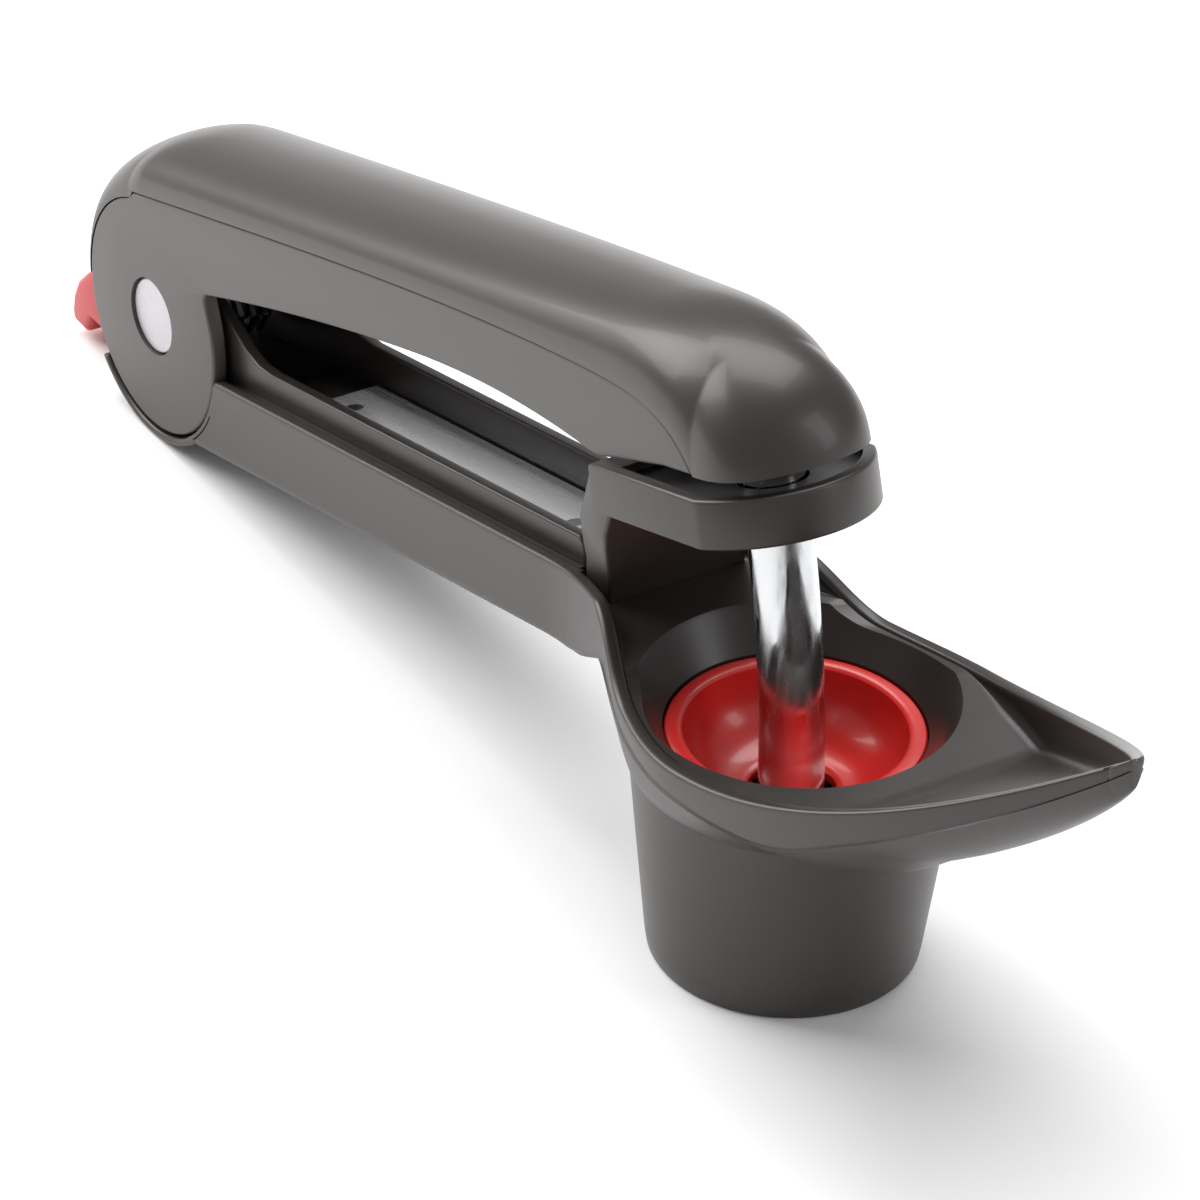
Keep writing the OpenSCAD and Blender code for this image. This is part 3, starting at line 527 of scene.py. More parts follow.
def cut(piece: bpy.types.Object, tools: list[bpy.types.Object]) -> None:
    """Cut tools out of a piece and remove them.

    Args:
        piece: The object that is cut.
        tools: Closed objects to cut with.
    """
    for tool in tools:
        step = piece.modifiers.new(tool.name, "BOOLEAN")
        step.object, step.operation, step.solver = tool, "DIFFERENCE", "EXACT"
    graph = bpy.context.evaluated_depsgraph_get()
    mesh = bpy.data.meshes.new_from_object(piece.evaluated_get(graph), depsgraph=graph)
    piece.modifiers.clear()
    old, piece.data = piece.data, mesh
    bpy.data.meshes.remove(old)
    mesh.shade_smooth()
    mesh.set_sharp_from_angle(angle=np.radians(30))
    for tool in tools:
        bpy.data.objects.remove(tool)


def arc(cx: float, cy: float, r: float, start: float, end: float, n: int) -> np.ndarray:
    """Points on a circular arc.

    Args:
        cx: Centre, first coordinate.
        cy: Centre, second coordinate.
        r: Radius.
        start: First angle, in degrees.
        end: Last angle, in degrees.
        n: Number of points.

    Returns:
        Points, shaped (n, 2).
    """
    t = np.radians(np.linspace(start, end, n))
    return np.stack([cx + r * np.cos(t), cy + r * np.sin(t)], axis=1)


def ease(t: np.ndarray) -> np.ndarray:
    """Step smoothly from 0 to 1: (1 - cos(180 t)) / 2.

    Args:
        t: Share of the way.

    Returns:
        The eased share.
    """
    return (1 - np.cos(np.pi * np.clip(t, 0, 1))) / 2


def handle_z(u: np.ndarray, depth: float) -> np.ndarray:
    """Height of a line in the tilted handle.

    Args:
        u: Distance in front of the hinge, level with the surface.
        depth: Depth below the hinge, square to the handle.

    Returns:
        Heights.
    """
    return HINGE[2] + u * np.tan(HANDLE_TILT) - depth / np.cos(HANDLE_TILT)


def plan_half(x: np.ndarray, wide: float, narrow: float, tip: float) -> np.ndarray:
    """Half width of the handle and tray in plan.

    Narrow along the handle, eased out to wide at WIDEST_X, then
    wide (1 - s^2.2) with s growing from 0 there to 1 just past the tip,
    which is rounded by a circle of radius TIP_R.

    Args:
        x: Places along the object.
        wide: Half width at the widest place.
        narrow: Half width of the handle.
        tip: Place of the tip.

    Returns:
        Half widths.
    """
    s = np.clip((x - WIDEST_X) / (tip + TIP_R / 2 - WIDEST_X), 0, 1)
    front = wide * (1 - s**2.2)
    past = 0.95 * np.clip(x - tip + TIP_R, 0, TIP_R)
    rounded = np.sqrt(np.clip(TIP_R**2 - past**2, 0, None))
    front = np.where(x < tip - TIP_R, front, np.minimum(front, rounded))
    rear = narrow + (wide - narrow) * ease((x + 40) / 48)
    return np.where(x < WIDEST_X, rear, front)


def rim(x: np.ndarray) -> np.ndarray:
    """Height of the rim: rail line, soft shoulder, then the rise to the spout.

    Args:
        x: Places along the object.

    Returns:
        Heights.
    """
    rail = handle_z(x - HINGE[0], RAIL_DEPTH)
    top = handle_z(RAIL_X - HINGE[0], RAIL_DEPTH)
    drop = RIM_Z + (top - RIM_Z) * (1 - ease((x - RAIL_X) / (RISE_X - RAIL_X)))
    rise = RIM_Z + RIM_RISE * (np.clip((x - RISE_X) / (TIP_X - RISE_X), 0, 1)) ** RIM_POWER
    return np.where(x < RAIL_X, rail, np.where(x < RISE_X, drop, rise))


def keel(x: np.ndarray) -> np.ndarray:
    """Height of the underside: level round the cup, then a depth below the rim.

    The depth falls from SPOUT_DEPTH in front of the cup to TIP_DEPTH at the tip.

    Args:
        x: Places along the object.

    Returns:
        Heights.
    """
    level_to, ease_over, tip_over = 18, 20, 31
    t = ease((x - level_to) / ease_over)
    more = SPOUT_DEPTH - TIP_DEPTH
    depth = TIP_DEPTH + more * (np.clip(TIP_X - x, 0, None) / tip_over) ** 0.7
    rear = np.minimum(UNDER_Z, handle_z(x - HINGE[0], 16.1))
    return np.where(x < level_to, rear, UNDER_Z * (1 - t) + (rim(x) - depth) * t)


def seam(u: np.ndarray) -> np.ndarray:
    """Height of the seam between the lever's side plates and its cover.

    Args:
        u: Distances from the hinge.

    Returns:
        Heights in the lever's frame.
    """
    s = np.clip(u, 0, SEAM_END) / SEAM_END
    return SEAM_V - (SEAM_V - NOSE_V) * (0.44 * s**3.5 + 0.56 * s**30)


def skirt(u: np.ndarray) -> np.ndarray:
    """Lower edge of the lever's side plates, an arch for the fingers.

    Args:
        u: Distances from the hinge.

    Returns:
        Heights in the lever's frame.
    """
    low, high = 2.8, 8.0
    span = 46.7
    rear = high - 2.1 * ((ARCH_U - u) / 50) ** 2
    front = high - (high - low) * (np.clip(u - ARCH_U, 0, span) / span) ** 2.2
    end = low + (NOSE_V - low) * np.clip((u - ARCH_END_U) / 16.3, 0, 1)
    return np.where(u < ARCH_U, rear, np.where(u < ARCH_END_U, front, end))


# ---------------------------------------------------------------- pieces


def attach(piece: bpy.types.Object, body: Body, slot: str, *nodes: str) -> bpy.types.Object:
    """Let a piece ride on a body and stand for some of its nodes.

    Args:
        piece: The object.
        body: The body it moves with.
        slot: Material slot of the record; not used.
        *nodes: Nodes of the frame that it stands for.

    Returns:
        The same object.
    """
    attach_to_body(piece, body.value)
    if nodes:
        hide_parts(*nodes)
    return piece


@dataclass
class Finishes:
    """Every finish of the object, made once."""

    charcoal: bpy.types.Material
    tray: bpy.types.Material
    # Tray: the same charcoal ABS, its darker colour is painted shade
    satin: bpy.types.Material
    # Side plates, deck, drum and socket: the same charcoal ABS, its lighter colour is painted light
    soft: bpy.types.Material
    red: bpy.types.Material
    latch: bpy.types.Material
    chrome: bpy.types.Material
    # Strip: rolled stainless whose near-white colour is a painted reflection
    pin: bpy.types.Material
    strip: bpy.types.Material
    zinc: bpy.types.Material
    wire: bpy.types.Material

    @classmethod
    def make(cls) -> "Finishes":
        """Build the materials.

        Returns:
            The finishes.
        """
        plastics = (CHARCOAL, TRAY_PAINTED_SHADE, SATIN_PAINTED_LIGHT, SOFT_TOUCH, RED_GLOSS, RED_LATCH)
        metals = (CHROME, PIN, STRIP_WITH_PAINTED_REFLECTION, ZINC, WIRE)
        return cls(*(kind.build() for kind in plastics + metals))

    def dress_frame(self) -> None:
        """Give the frame's own nodes their finishes."""
        table = {
            "guard_screws": self.zinc,
            "strip_screws": self.zinc,
            "cover_screws": self.zinc,
            "rod_cross_pin": self.zinc,
            "pivot_washers": self.zinc,
            "spring_tube": self.zinc,
            "latch_pin": self.zinc,
            "latch_washer": self.zinc,
            "return_spring": self.wire,
            "steel_strip": self.strip,
            "hinge_pin": self.pin,
            "pin_cap": self.pin,
            "pitting_rod": self.chrome,
            "handle_body": self.charcoal,
            "splash_cup": self.charcoal,
            "guard": self.charcoal,
            "red_seat": self.red,
            "lever_frame": self.satin,
            "grip_cover": self.soft,
            "latch_slide": self.latch,
        }
        for piece in bpy.data.objects:
            name = piece.name.split(".")[0]
            if piece.type == "MESH" and name in table:
                piece.data.materials.clear()
                piece.data.materials.append(table[name])


@dataclass
class TrayAndHandle:
    """The lower moulding: rails, channel, tray, heel, ears and latch guide."""

    finish: Finishes
    handle_half: float = 11.8
    wall: float = 2.0
    tray_half: float = 23.0
    tray_wall: float = 2.2

    def section(self, x: np.ndarray, tray: bool) -> np.ndarray:
        """Closed sections across the moulding.

        Each section runs from the middle of the underside up the left wall,
        over the rounded rim, down to the floor, and back on the right.

        Args:
            x: Places along the object.
            tray: Whether the floor is the tray's or the handle's channel.

        Returns:
            Rings shaped (places, points, 3).
        """
        half = plan_half(x, self.tray_half, self.handle_half, TIP_X)
        top, low = rim(x), keel(x)
        lip = 0.7
        bowl = ease((x + 34) / 16)
        round_cup = np.sqrt(np.clip(20.4**2 - x**2, 0, None))
        behind = np.where(x < 0, 0.5 * half * (1 - bowl), 0)
        flat = np.maximum(np.maximum(round_cup, 0.05 * half), behind)
        rise = (top - low) * 0.6 * bowl
        if tray:
            end = TIP_X - TIP_WALL
            wide, narrow = self.tray_half - self.tray_wall, self.handle_half - self.wall
            inner = plan_half(x, wide, narrow, end)
            sink = 6.4 - 3.2 * np.clip((x - 20) / 49, 0, 1)
            floor = np.maximum(FLOOR_Z, top - sink)
            near = np.clip((end - x) / 5, 0, 1) ** 0.5
            floor = floor * near + (top - 0.4) * (1 - near)
            inner = np.where(x > end, half * 0.3, inner)
        else:
            inner = np.full_like(x, self.handle_half - self.wall)
            floor = handle_z(x - HINGE[0], 5.8)
        corner = (1.3 * (1 - bowl) * np.minimum(half, 12) / 12)[:, None]
        half_c, flat_c, low_c, rise_c, top_c = (
            a[:, None] for a in (half, flat, low, rise, top)
        )
        q = np.linspace(0, 1, 15)[None, :]
        low_y = flat_c + (half_c - flat_c) * q
        low_z = low_c + rise_c * q**1.7
        edge = np.clip((low_y - (half_c - corner)) / np.maximum(corner, 1e-6), 0, 1)
        low_z = low_z + corner * (1 - np.sqrt(1 - np.minimum(edge, 0.995) ** 2))
        w = np.linspace(0.08, 1, 10)[None, :]
        wall_z = low_z[:, -1:] * (1 - w) + (top_c - lip) * w
        wall_y = np.broadcast_to(half_c, wall_z.shape) - 0.25 * bowl[:, None] * (1 - w) ** 2
        b = np.radians(np.linspace(12, 90, 6))[None, :]
        width = np.maximum(half - inner, 0.2)[:, None]
        lip_r = np.minimum(lip, width * 0.45)
        out_y = half_c - lip_r + lip_r * np.cos(b)
        out_z = top_c - lip_r + lip_r * np.sin(b)
        in_y = half_c - width + lip_r - lip_r * np.cos(b[:, ::-1])
        in_z = out_z[:, ::-1]
        inner_c, floor_c = half_c - width, np.minimum(floor, top - 0.3)[:, None]
        tall = np.maximum(top_c - lip - floor_c, 0.01) * 0.8
        room = np.minimum(1.6, np.minimum(inner_c * 0.5, tall))
        c = np.radians(np.linspace(0, 90, 7))[None, :]
        foot_y = inner_c - room * (1 - np.cos(c))
        foot_z = floor_c + room * (1 - np.sin(c))
        none = np.zeros((x.size, 1))
        if tray:
            mid_y, mid_z, end_z = inner_c * 0.35, floor_c, floor_c
        else:
            end_z = handle_z(x - HINGE[0], -CHANNEL_V)[:, None]
            mid_y = np.concatenate([none + 8.6, none + 8.4], axis=1)
            mid_z = np.concatenate([floor_c, end_z], axis=1)
        y = np.concatenate([low_y, wall_y, out_y, in_y, foot_y, mid_y], axis=1)
        z = np.concatenate([low_z, wall_z, out_z, in_z, foot_z, mid_z], axis=1)
        ring_y = np.concatenate([none, y, none, -y[:, ::-1]], axis=1)
        ring_z = np.concatenate([low_c, z, end_z, z[:, ::-1]], axis=1)
        return np.stack([np.broadcast_to(x[:, None], ring_y.shape), ring_y, ring_z], axis=-1)

    def box(
        self, name: str, u: tuple[float, float], half: float, v: tuple[float, float]
    ) -> bpy.types.Object:
        """A block in the handle's frame.

        Args:
            name: Name of the object.
            u: First and last place along the handle.
            half: Half width.
            v: Lower and upper height.

        Returns:
            The object.
        """
        outline = np.array([[u[0], v[0]], [u[1], v[0]], [u[1], v[1]], [u[0], v[1]]])
        return rounded_slab(name, outline, -half, half, SHARP, self.finish.charcoal, handle_frame)

    def build(self) -> None:
        """Make the moulding's pieces."""
        f = self.finish
        quarter = np.sin(np.radians(np.linspace(0, 90, 70)))
        front = WIDEST_X + (TIP_X - 0.02 - WIDEST_X) * quarter
        rear = np.linspace(-33.0, WIDEST_X, 56)[:-1]
        # The tray's darker colour is painted shade
        tray = surface("tray", self.section(np.concatenate([rear, front]), True), f.tray)
        hole_r = [(0.01, 20), (15.0, 20), (15.0, 29.9)]
        ledge = [(16.3, 29.9), (16.3, 31.7), (19.6, 36.3), (20.2, 36.9), (20.2, 40), (0.01, 40)]
        pocket = lathe("pocket tool", hole_r + ledge, f.tray)
        inner = self.handle_half - self.wall
        channel = self.box("channel tool", (90, 110.8), inner, (CHANNEL_V, 10))
        cut(tray, [pocket, channel])
        attach(tray, Body.HANDLE, "dark_plastic", "handle_body")

        along = np.linspace(HINGE[0] + 0.2, -32.9, 60)
        rails = surface("handle", self.section(along, False), f.charcoal)
        disc = arc(0, 0, DISC_R + 0.4, 0, 357, 120)
        hole = rounded_slab("disc tool", disc, -30, 30, SHARP, f.charcoal, level_frame)
        under = self.box("underside tool", (0, 101.5), inner, (-30, BELOW_V))
        ends = self.box("cheek end tool", (104.4 - 1.0, 120), inner, (CHANNEL_V, 10))
        cut(rails, [hole, under, ends])
        attach(rails, Body.HANDLE, "dark_plastic")

        self.build_heel()
        self.build_cheeks()

    def build_heel(self) -> None:
        """The round heel under the lever's disc, the ribs and the latch guide."""
        f, half = self.finish, self.handle_half
        outer, inner = 17.75, DISC_R + 0.45
        start = 180 + np.degrees(np.arcsin(12.8 / 17.8))
        outline = np.concatenate(
            [arc(0, 0, outer, start, 338, 50), arc(0, 0, inner, 340, start + 1.5, 50)]
        )
        heel = rounded_slab("heel", outline, -half, half, 0.45, f.charcoal, level_frame)
        attach(heel, Body.HANDLE, "dark_plastic")
        first, last, ribs = 22.6, 96.2, 5
        for i in range(ribs):
            u = first + (last - first) * i / (ribs - 1)
            rib = self.box(f"rib {i + 1}", (u - 0.6, u + 0.6), 9.85, (-13.8, -9.75))
            attach(rib, Body.HANDLE, "dark_plastic")
        lug = np.array([[-18.2, 1.8], [-9.6, 1.8], [-9.6, 3.7], [-18.2, 3.7]]) - [0, HINGE[2]]
        for side in (-1, 1):
            low, high = sorted((side * 1.6, side * 6.3))
            name = f"latch guide {side}"
            guide = rounded_slab(name, lug, low, high, 0.25, f.charcoal, level_frame)
            attach(guide, Body.HANDLE, "dark_plastic")

    def build_cheeks(self) -> None:
        """Ears round the pin, running on as cheeks beside the channel."""
        f = self.finish
        ear = arc(0, 0, 9.5, 40, 200, 24)
        low = np.array([[-6.0, -9.0], [-6, -14.9], [0, -16.6], [16.6, BELOW_V]])
        end = np.array([[103.4, BELOW_V], [103.4, -2.9], [102.6, -2.0]])
        sweep = np.array([[26.0, -2.0], [22.6, -1.6], [19.4, -0.2], [16.6, 2.0], [13.0, 4.4]])
        outline = np.concatenate([ear, low, end, sweep])
        for side in (-1, 1):
            near, far = sorted((side * 6.7, side * 8.5))
            cheek = rounded_slab(f"cheek {side}", outline, near, far, 0.4, f.charcoal, handle_frame)
            attach(cheek, Body.HANDLE, "dark_plastic")
        web = np.array(
            [[-2, -16.6], [6, -15.6], [16.6, BELOW_V], [17.6, CHANNEL_V], [0, CHANNEL_V]]
            + [[-2, BELOW_V]]
        )
        piece = rounded_slab("web", web, -6.75, 6.75, 0.05, f.charcoal, handle_frame)
        attach(piece, Body.HANDLE, "dark_plastic")


@dataclass
class CupAndSeat:
    """The open cup with its foot ring, and the red seat hung in the tray."""

    finish: Finishes

    def build(self) -> None:
        """Make both pieces."""
        foot = [(15.3, 0.35), (15.65, 0.05), (16.3, 0.0), (16.75, 0.15), (17.0, 0.6)]
        outside = [(17.3, 2.5), (18.8, 15.0), (20.25, 27.4), (16.7, 27.4)]
        inside = [(16.7, 25.6), (18.2, 25.3), (17.0, 15.0), (15.6, 3.0)]
        cup = lathe("cup", foot + outside + inside, self.finish.charcoal)
        attach(cup, Body.HANDLE, "dark_plastic", "splash_cup")

        t = np.radians(np.linspace(0, 90, 16))
        hole_r = 5.8
        flange = [(16.15, 29.95), (16.2, 30.3), (16.15, 31.1), (15.9, 31.5), (15.4, 31.67)]
        mouth = [(14.7, 31.66), (14.2, 31.55)]
        bowl = np.stack([hole_r + 8.1 * np.cos(t), 31.3 - 8.3 * np.sin(t)], axis=1)
        lip = [(5.5, 22.75), (5.45, 22.2), (5.6, 21.5)]
        back = t[::-1]
        under = np.stack([hole_r + 8.8 * np.cos(back), 29.9 - 8.5 * np.sin(back)], axis=1)
        seat = lathe("seat", np.concatenate([flange, mouth, bowl, lip, under]), self.finish.red)
        attach(seat, Body.HANDLE, "red_seat", "red_seat")


@dataclass
class GuardPlate:
    """The plate over the seat, with its lip, hole and leg."""

    finish: Finishes
    half: float = 13.15
    low: float = -4.0
    high: float = 2.4

    def plan(self, shrink: float) -> np.ndarray:
        """Plan of the plate: straight sides and a round front.

        Args:
            shrink: Distance inwards.

        Returns:
            Points, shaped (points, 2).
        """
        r, half = 14.3 - shrink, self.half - shrink
        a = np.degrees(np.arcsin(half / r))
        rear_u = 115.4 + 3 * shrink
        rear = np.array([[rear_u, half], [rear_u, -half]])
        return np.concatenate([rear, arc(134.2, 0, r, -a, a, 40)])

    def build(self) -> None:
        """Make the plate and its leg."""
        dark, low, high = self.finish.charcoal, self.low, self.high
        lip, deep = 1.7, 1.2
        round_hole = arc(ROD_U, 0, 4.5, 0, LAST_OF_72, 72)
        plate = rounded_slab(
            "guard plate", self.plan(0.0), low, high, 0.5, dark, lever_frame, axis=2
        )
        dish = rounded_slab(
            "dish tool", self.plan(lip), high - deep, high + 3, 0.3, dark, lever_frame, axis=2
        )
        hole = rounded_slab("hole tool", round_hole, -12, 12, SHARP, dark, lever_frame, axis=2)
        cut(plate, [dish, hole])
        attach(plate, Body.HANDLE, "dark_plastic", "guard")

        self.build_leg()

    def build_leg(self) -> None:
        """Make the leg: rounded rectangles that lean forward and widen upwards."""
        foot_z, top_z, edge = 35.75, 57.2, 0.6
        w = np.linspace(0, 1, 9)
        knots = [0, 0.14, 0.36, 0.8, 1.0]
        rear_x = np.interp(w, knots, [-33.0, -32.9, -31.9, -29.7, -28.66])
        front_x = np.interp(w, knots, [-27.45, -27.1, -26.0, -23.6, -22.0])
        z = np.interp(w, [0, 1.0], [foot_z, top_z])[:, None]
        half = np.interp(w, [0, 0.19, 0.6, 1.0], [10.1, 10.2, 13.0, 13.1])[:, None]
        corner = arc(0, 0, edge, 0, 90, 4)
        ring = []
        for sx, sy in ((1, 1), (-1, 1), (-1, -1), (1, -1)):
            quarter = corner if sx * sy > 0 else corner[::-1]
            cx = np.where(sx > 0, front_x - edge, rear_x + edge)[:, None]
            x = cx + sx * quarter[None, :, 0]
            y = sy * (half - edge + quarter[None, :, 1])
            ring.append(np.stack([x, y], axis=-1))
        flat = np.concatenate(ring, axis=1)
        # The foot follows the channel's floor, as far as the tray's floor
        foot = np.maximum(z, handle_z(flat[..., 0] - HINGE[0], -CHANNEL_V) + 0.05)
        foot = np.minimum(foot, FLOOR_Z + 0.05)
        level = np.where(w[:, None] < 0.02, foot, np.broadcast_to(z, foot.shape))
        rings = np.concatenate([flat, level[..., None]], axis=-1)
        leg = surface("guard leg", rings, self.finish.charcoal)
        attach(leg, Body.HANDLE, "dark_plastic")


@dataclass
class Lever:
    """Side plates, deck, drum and socket of the lever, under its domed cover."""

    finish: Finishes

    def build_frame(self) -> None:
        """Make the lower moulding."""
        # The side plates' lighter colour is painted light
        satin = self.finish.satin
        u = ROD_U * np.linspace(0, 1, 70) ** 0.75
        back = np.linspace(131.0, 16.4, 60)
        fillet = np.array([[15.9, 5.35], [15.75, 4.6], [15.9, 3.4]])
        outline = np.concatenate(
            [
                np.stack([u, seam(u) - 0.12], axis=1),
                [[137.6, NOSE_V + 0.1]],
                np.stack([back, skirt(back)], axis=1),
                fillet,
                arc(0, 0, DISC_R, 8, -264, 110),
            ]
        )
        for side in (-1, 1):
            near, far = sorted((side * 9.4, side * LEVER_HALF))
            plate = rounded_slab(f"side plate {side}", outline, near, far, 0.45, satin, lever_frame)
            near, far = sorted((side * 10.25, side * 14))
            sunk = arc(0, 0, 5.35, 0, LAST_OF_72, 72)
            recess = rounded_slab(f"recess tool {side}", sunk, near, far, 0.02, satin, lever_frame)
            cut(plate, [recess])
            attach(plate, Body.LEVER, "lever_plastic", *(("lever_frame",) if side < 0 else ()))
        deck = np.array(
            [[14.0, 11.4], [130.0, 11.4], [132.5, 4.7], [ROD_U, 4.7], [ROD_U, 13.2], [14.0, 13.2]]
        )
        start, end = 211.0, 72.0
        drum = np.concatenate([arc(0, 0, 16.1, start, end, 60), arc(0, 0, 14.0, end, start, 60)])
        for name, outline, edge, put in (
            ("deck", deck, 0.05, lever_frame),
            ("drum", drum, 0.2, level_frame),
        ):
            piece = rounded_slab(name, outline, -INNER_HALF, INNER_HALF, edge, satin, put)
            attach(piece, Body.LEVER, "lever_plastic")
        hub = arc(ROD_U, 0, 6.1, 0, LAST_OF_72, 72)
        socket = rounded_slab("socket", hub, NOSE_V, 13.0, 0.4, satin, lever_frame, axis=2)
        attach(socket, Body.LEVER, "lever_plastic")

    def build_cover(self) -> None:
        """Make the domed cover.

        Sections across the lever: y = half cos(t)^0.92 and
        v = low + (crown - low) sin(t)^0.88, for t from 0 to 180 degrees. The
        crown rounds over behind the hinge and down the nose.
        """
        straight = NOSE_U - 14.0
        rear_u, rear_end, droop_from, crown_fall = 15.9, 6, 118, 1.1
        rear = -rear_u + rear_u * (1 - np.cos(np.radians(np.linspace(0, 90, 30))))[:-1]
        middle = np.linspace(0, straight, 60)[:-1]
        quarter = np.sin(np.radians(np.linspace(0, 90, 60)))
        nose = straight + (NOSE_U - straight - 0.004) * quarter
        u = np.concatenate([rear, middle, nose])
        blunt = np.clip(1 - np.clip((u - straight) / (NOSE_U - straight), 0, 1) ** 4.5, 0, 1)
        half = LEVER_HALF * np.sqrt(blunt)
        disc = np.sqrt(np.clip((DISC_R + 0.05) ** 2 - u**2, 0, None))
        low = np.where(u < 0, disc, np.where(u < 10, np.maximum(seam(u), disc), seam(u)))
        low = np.where(u > SEAM_END, NOSE_V, low)
        top = CROWN_V - crown_fall * np.clip((u - rear_end) / 112, 0, 1)
        behind = np.clip(1 - (np.clip(rear_end - u, 0, None) / 22.6) ** 2.6, 0, 1) ** (1 / 2.6)
        crown = np.where(u < rear_end, top * behind, top)
        droop = np.clip((u - droop_from) / (NOSE_U - droop_from), 0, 1)
        ahead = NOSE_V + (top - NOSE_V) * np.clip(1 - droop**2.6, 0, 1) ** 0.46
        crown = np.maximum(np.where(u > droop_from, ahead, crown), low + 0.05)
        t = np.radians(np.linspace(0, 180, 49))[None, :]
        c = np.cos(t)
        y = half[:, None] * np.sign(c) * np.abs(c) ** 0.92
        v = low[:, None] + (crown - low)[:, None] * np.abs(np.sin(t)) ** 0.88
        dome = np.stack([np.broadcast_to(u[:, None], y.shape), y, v], axis=-1)
        floor_y = half[:, None] * np.linspace(-1, 1, 9)[None, 1:-1]
        floor = np.stack(
            [
                np.broadcast_to(u[:, None], floor_y.shape),
                floor_y,
                np.broadcast_to(low[:, None], floor_y.shape),
            ],
            axis=-1,
        )
        rings = lever_frame(np.concatenate([dome, floor], axis=1))
        cover = surface("cover", rings, self.finish.soft, angle=50)
        attach(cover, Body.LEVER, "cover_plastic", "grip_cover")

    def build_rod(self) -> None:
        """Make the rod: circles on an arc about the hinge, with a rounded tip."""
        tip_z, socket_v, edge, steps = 12, 13.3, 0.8, 60
        tip = -np.arcsin((HINGE[2] - tip_z) / ROD_U)
        top = LEVER_TILT + np.arcsin(socket_v / ROD_U)
        t = np.radians(np.linspace(90, 0, 7))
        start = tip + edge * (1 - np.sin(t)) / ROD_U
        angles = np.concatenate([start, np.linspace(tip + edge / ROD_U, top, steps)[1:]])
        radius = np.concatenate([ROD_R - edge * (1 - np.cos(t)), np.full(steps - 1, ROD_R)])
        a = np.radians(np.linspace(0, 360, 49)[:-1])[None, :]
        out = ROD_U + radius[:, None] * np.cos(a)
        rings = np.stack(
            [
                HINGE[0] + out * np.cos(angles)[:, None],
                radius[:, None] * np.sin(a),
                HINGE[2] + out * np.sin(angles)[:, None],
            ],
            axis=-1,
        )
        rod = surface("rod", rings, self.finish.chrome)
        attach(rod, Body.LEVER, "rod_chrome", "pitting_rod")

    def build_pin(self) -> None:
        """Make the pin's two flat heads, each with a soft edge."""
        steel = self.finish.pin
        disc = arc(0, 0, 5.15, 0, LAST_OF_72, 72)
        for side, node in ((-1, "hinge_pin"), (1, "pin_cap")):
            near, far = sorted((side * 10.3, side * 11.2))
            head = rounded_slab(f"{node} head", disc, near, far, 0.3, steel, level_frame)
            attach(head, Body.LEVER, "pin_steel", node)
        core = arc(0, 0, 2.5, 0, 352, 45)
        shaft = rounded_slab("pin shaft", core, -10.4, 10.4, 0.1, steel, level_frame)
        attach(shaft, Body.LEVER, "pin_steel")

    def build(self) -> None:
        """Make every piece of the lever."""
        self.build_frame()
        self.build_cover()
        self.build_rod()
        self.build_pin()


@dataclass
class Latch:
    """The red latch behind the heel, with its thumb tab."""

    finish: Finishes

    def build(self) -> None:
        """Make the stem and the tab."""
        red = self.finish.latch
        stem = np.array([[-13.6, 4.05], [-13.6, 7.5], [-20.5, 7.5], [-20.5, 4.05]]) - [0, HINGE[2]]
        bar = rounded_slab("latch stem", stem, -5.35, 5.35, 0.4, red, level_frame)
        attach(bar, Body.LATCH, "red_latch")
        tab = np.array(
            [[-17.3, 4.1], [-17.3, 7.2], [-17.6, 8.2], [-19.3, 11.6], [-20.2, 12.1]]
            + [[-21.6, 12.0], [-23.4, 10.6], [-25.6, 8.2], [-26.7, 5.4], [-26.9, 3.2]]
            + [[-26.6, 2.0], [-25.8, 1.5], [-23.0, 1.5], [-22.3, 2.2], [-21.8, 4.1]]
        ) - [0, HINGE[2]]
        thumb = rounded_slab("latch tab", tab, -8.35, 8.35, 0.9, red, level_frame)
        attach(thumb, Body.LATCH, "red_latch", "latch_slide")


# ---------------------------------------------------------------- studio


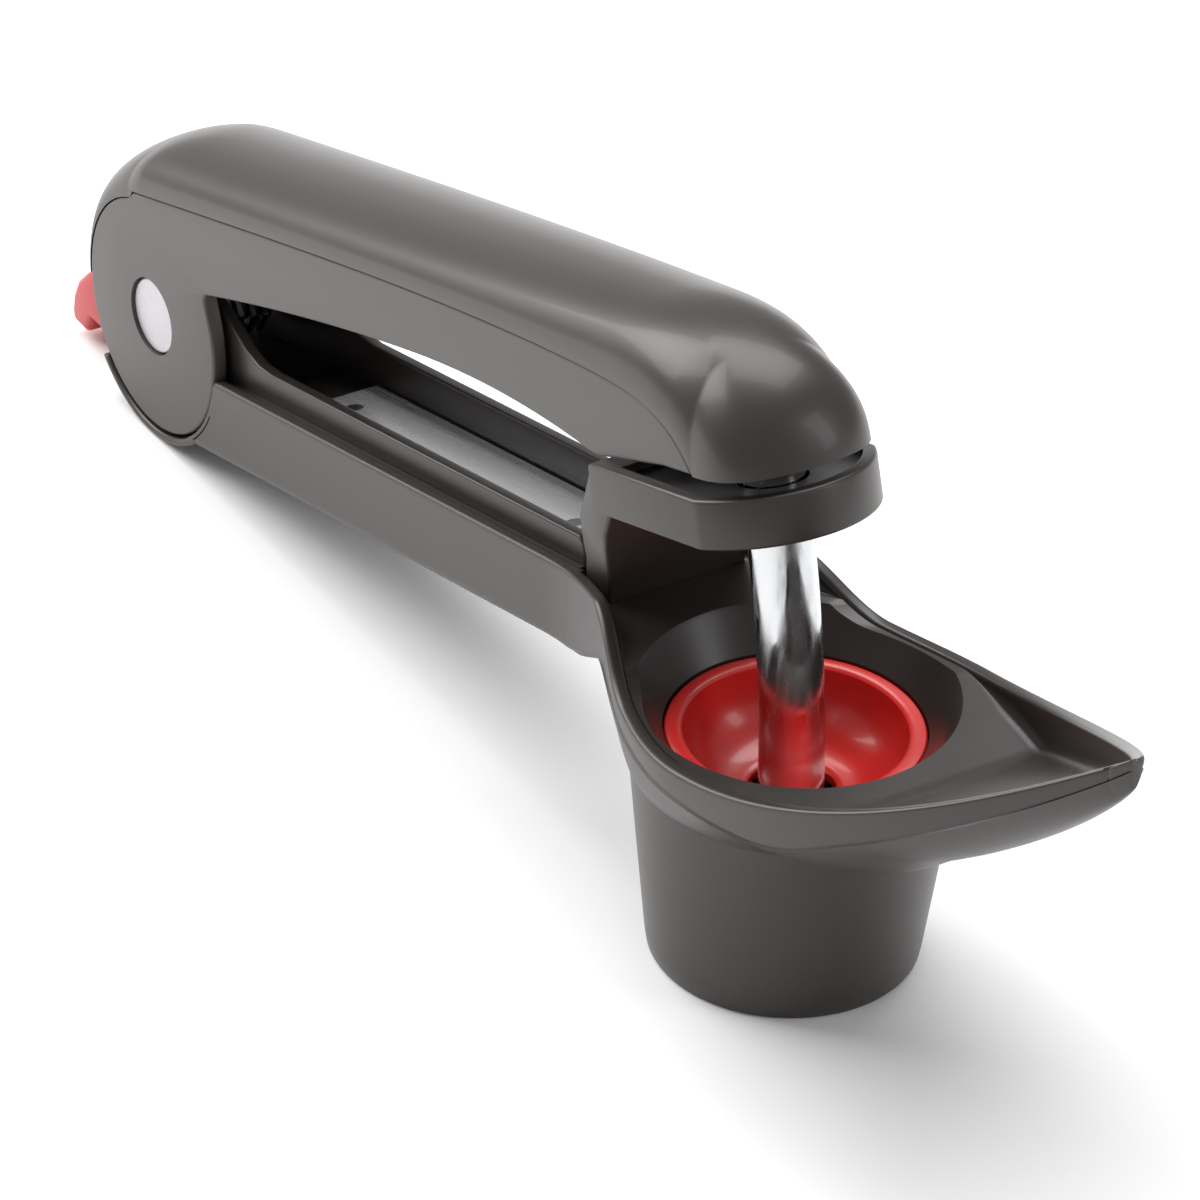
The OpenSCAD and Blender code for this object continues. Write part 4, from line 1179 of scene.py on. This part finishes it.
@dataclass(frozen=True)
class Studio:
    """Camera, floor and lamps of the product picture."""

    azimuth: float = 56.575
    elevation: float = 33.923
    roll: float = 2.733
    distance: float = 1235.004
    across: float = -22.588
    up: float = 41.812
    lens: float = 300.0
    surround: float = 0.42

    def camera(self) -> None:
        """Place the camera: its back axis from the two angles, then the roll."""
        a, e, r = np.radians([self.azimuth, self.elevation, self.roll])
        back = np.array([np.sin(a) * np.cos(e), -np.cos(a) * np.cos(e), np.sin(e)])
        right = np.array([np.cos(a), np.sin(a), 0.0])
        top = np.cross(back, right)
        right_r = np.cos(r) * right + np.sin(r) * top
        top_r = -np.sin(r) * right + np.cos(r) * top
        place = (back * self.distance + right_r * self.across + top_r * self.up) * MM
        data = bpy.data.cameras.new("camera")
        data.lens = self.lens
        data.sensor_width = 36.0
        data.clip_start, data.clip_end = 0.05, 50.0
        camera = bpy.data.objects.new("camera", data)
        rows = [[right_r[i], top_r[i], back[i], place[i]] for i in range(3)] + [[0, 0, 0, 1]]
        camera.matrix_world = Matrix(rows)
        bpy.context.scene.collection.objects.link(camera)
        bpy.context.scene.camera = camera

    def world(self) -> None:
        """Pale surroundings: white to the camera, softer where they light."""
        world = bpy.data.worlds.new("studio")
        world.use_nodes = True
        bpy.context.scene.world = world
        tree = world.node_tree
        tree.nodes.clear()
        out = tree.nodes.new("ShaderNodeOutputWorld")
        lit = tree.nodes.new("ShaderNodeBackground")
        seen = tree.nodes.new("ShaderNodeBackground")
        mix = tree.nodes.new("ShaderNodeMixShader")
        path = tree.nodes.new("ShaderNodeLightPath")
        lit.inputs["Color"].default_value = linear("ffffff")
        lit.inputs["Strength"].default_value = self.surround
        seen.inputs["Color"].default_value = linear("ffffff")
        tree.links.new(path.outputs["Is Camera Ray"], mix.inputs[0])
        tree.links.new(lit.outputs[0], mix.inputs[1])
        tree.links.new(seen.outputs[0], mix.inputs[2])
        tree.links.new(mix.outputs[0], out.inputs[0])

    def lamp(
        self, name: str, place: Sequence[float], size: tuple[float, float], power: float
    ) -> None:
        """Hang a soft box that faces the object.

        Args:
            name: Name of the lamp.
            place: Its place in metres.
            size: Its two sides in metres.
            power: Its power in watts.
        """
        data = bpy.data.lights.new(name, "AREA")
        data.shape = "RECTANGLE"
        data.size, data.size_y = size
        data.energy = power
        lamp = bpy.data.objects.new(name, data)
        lamp.location = Vector(place)
        aim = Vector((-0.04, 0.0, 0.03)) - Vector(place)
        lamp.rotation_euler = aim.to_track_quat("-Z", "Y").to_euler()
        bpy.context.scene.collection.objects.link(lamp)

    def floor(self) -> None:
        """A white table top that takes the soft shadows."""
        g = Graph("white acrylic")
        # Table: matt white acrylic sheet
        g.feed(g.shader, "Base Color", linear("ffffff"))
        g.feed(g.shader, "Roughness", 0.9)
        g.feed(g.shader, "Specular IOR Level", 0.0)
        mesh = bpy.data.meshes.new("table")
        s = 6.0  # half the table's side, in metres
        mesh.from_pydata([(-s, -s, 0), (s, -s, 0), (s, s, 0), (-s, s, 0)], [], [(0, 1, 2, 3)])
        mesh.materials.append(g.material)
        table = bpy.data.objects.new("table", mesh)
        bpy.context.scene.collection.objects.link(table)

    def build(self) -> None:
        """Set the whole studio."""
        self.camera()
        self.world()
        self.floor()
        self.lamp("left soft box", (-1.0, -0.5, 0.85), (1.0, 1.0), 19.0)
        self.lamp("top soft box", (-0.45, 0.35, 1.15), (1.1, 0.8), 14.0)
        self.lamp("right soft box", (0.9, 0.8, 0.6), (0.3, 0.8), 2.5)


def main() -> None:
    """Load the solids, dress them and set the picture."""
    logging.basicConfig(level=logging.INFO)
    bpy.context.scene.view_settings.view_transform = "Standard"
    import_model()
    finish = Finishes.make()
    finish.dress_frame()
    TrayAndHandle(finish).build()
    CupAndSeat(finish).build()
    GuardPlate(finish).build()
    Lever(finish).build()
    Latch(finish).build()
    Studio().build()


if __name__ == "__main__":
    main()
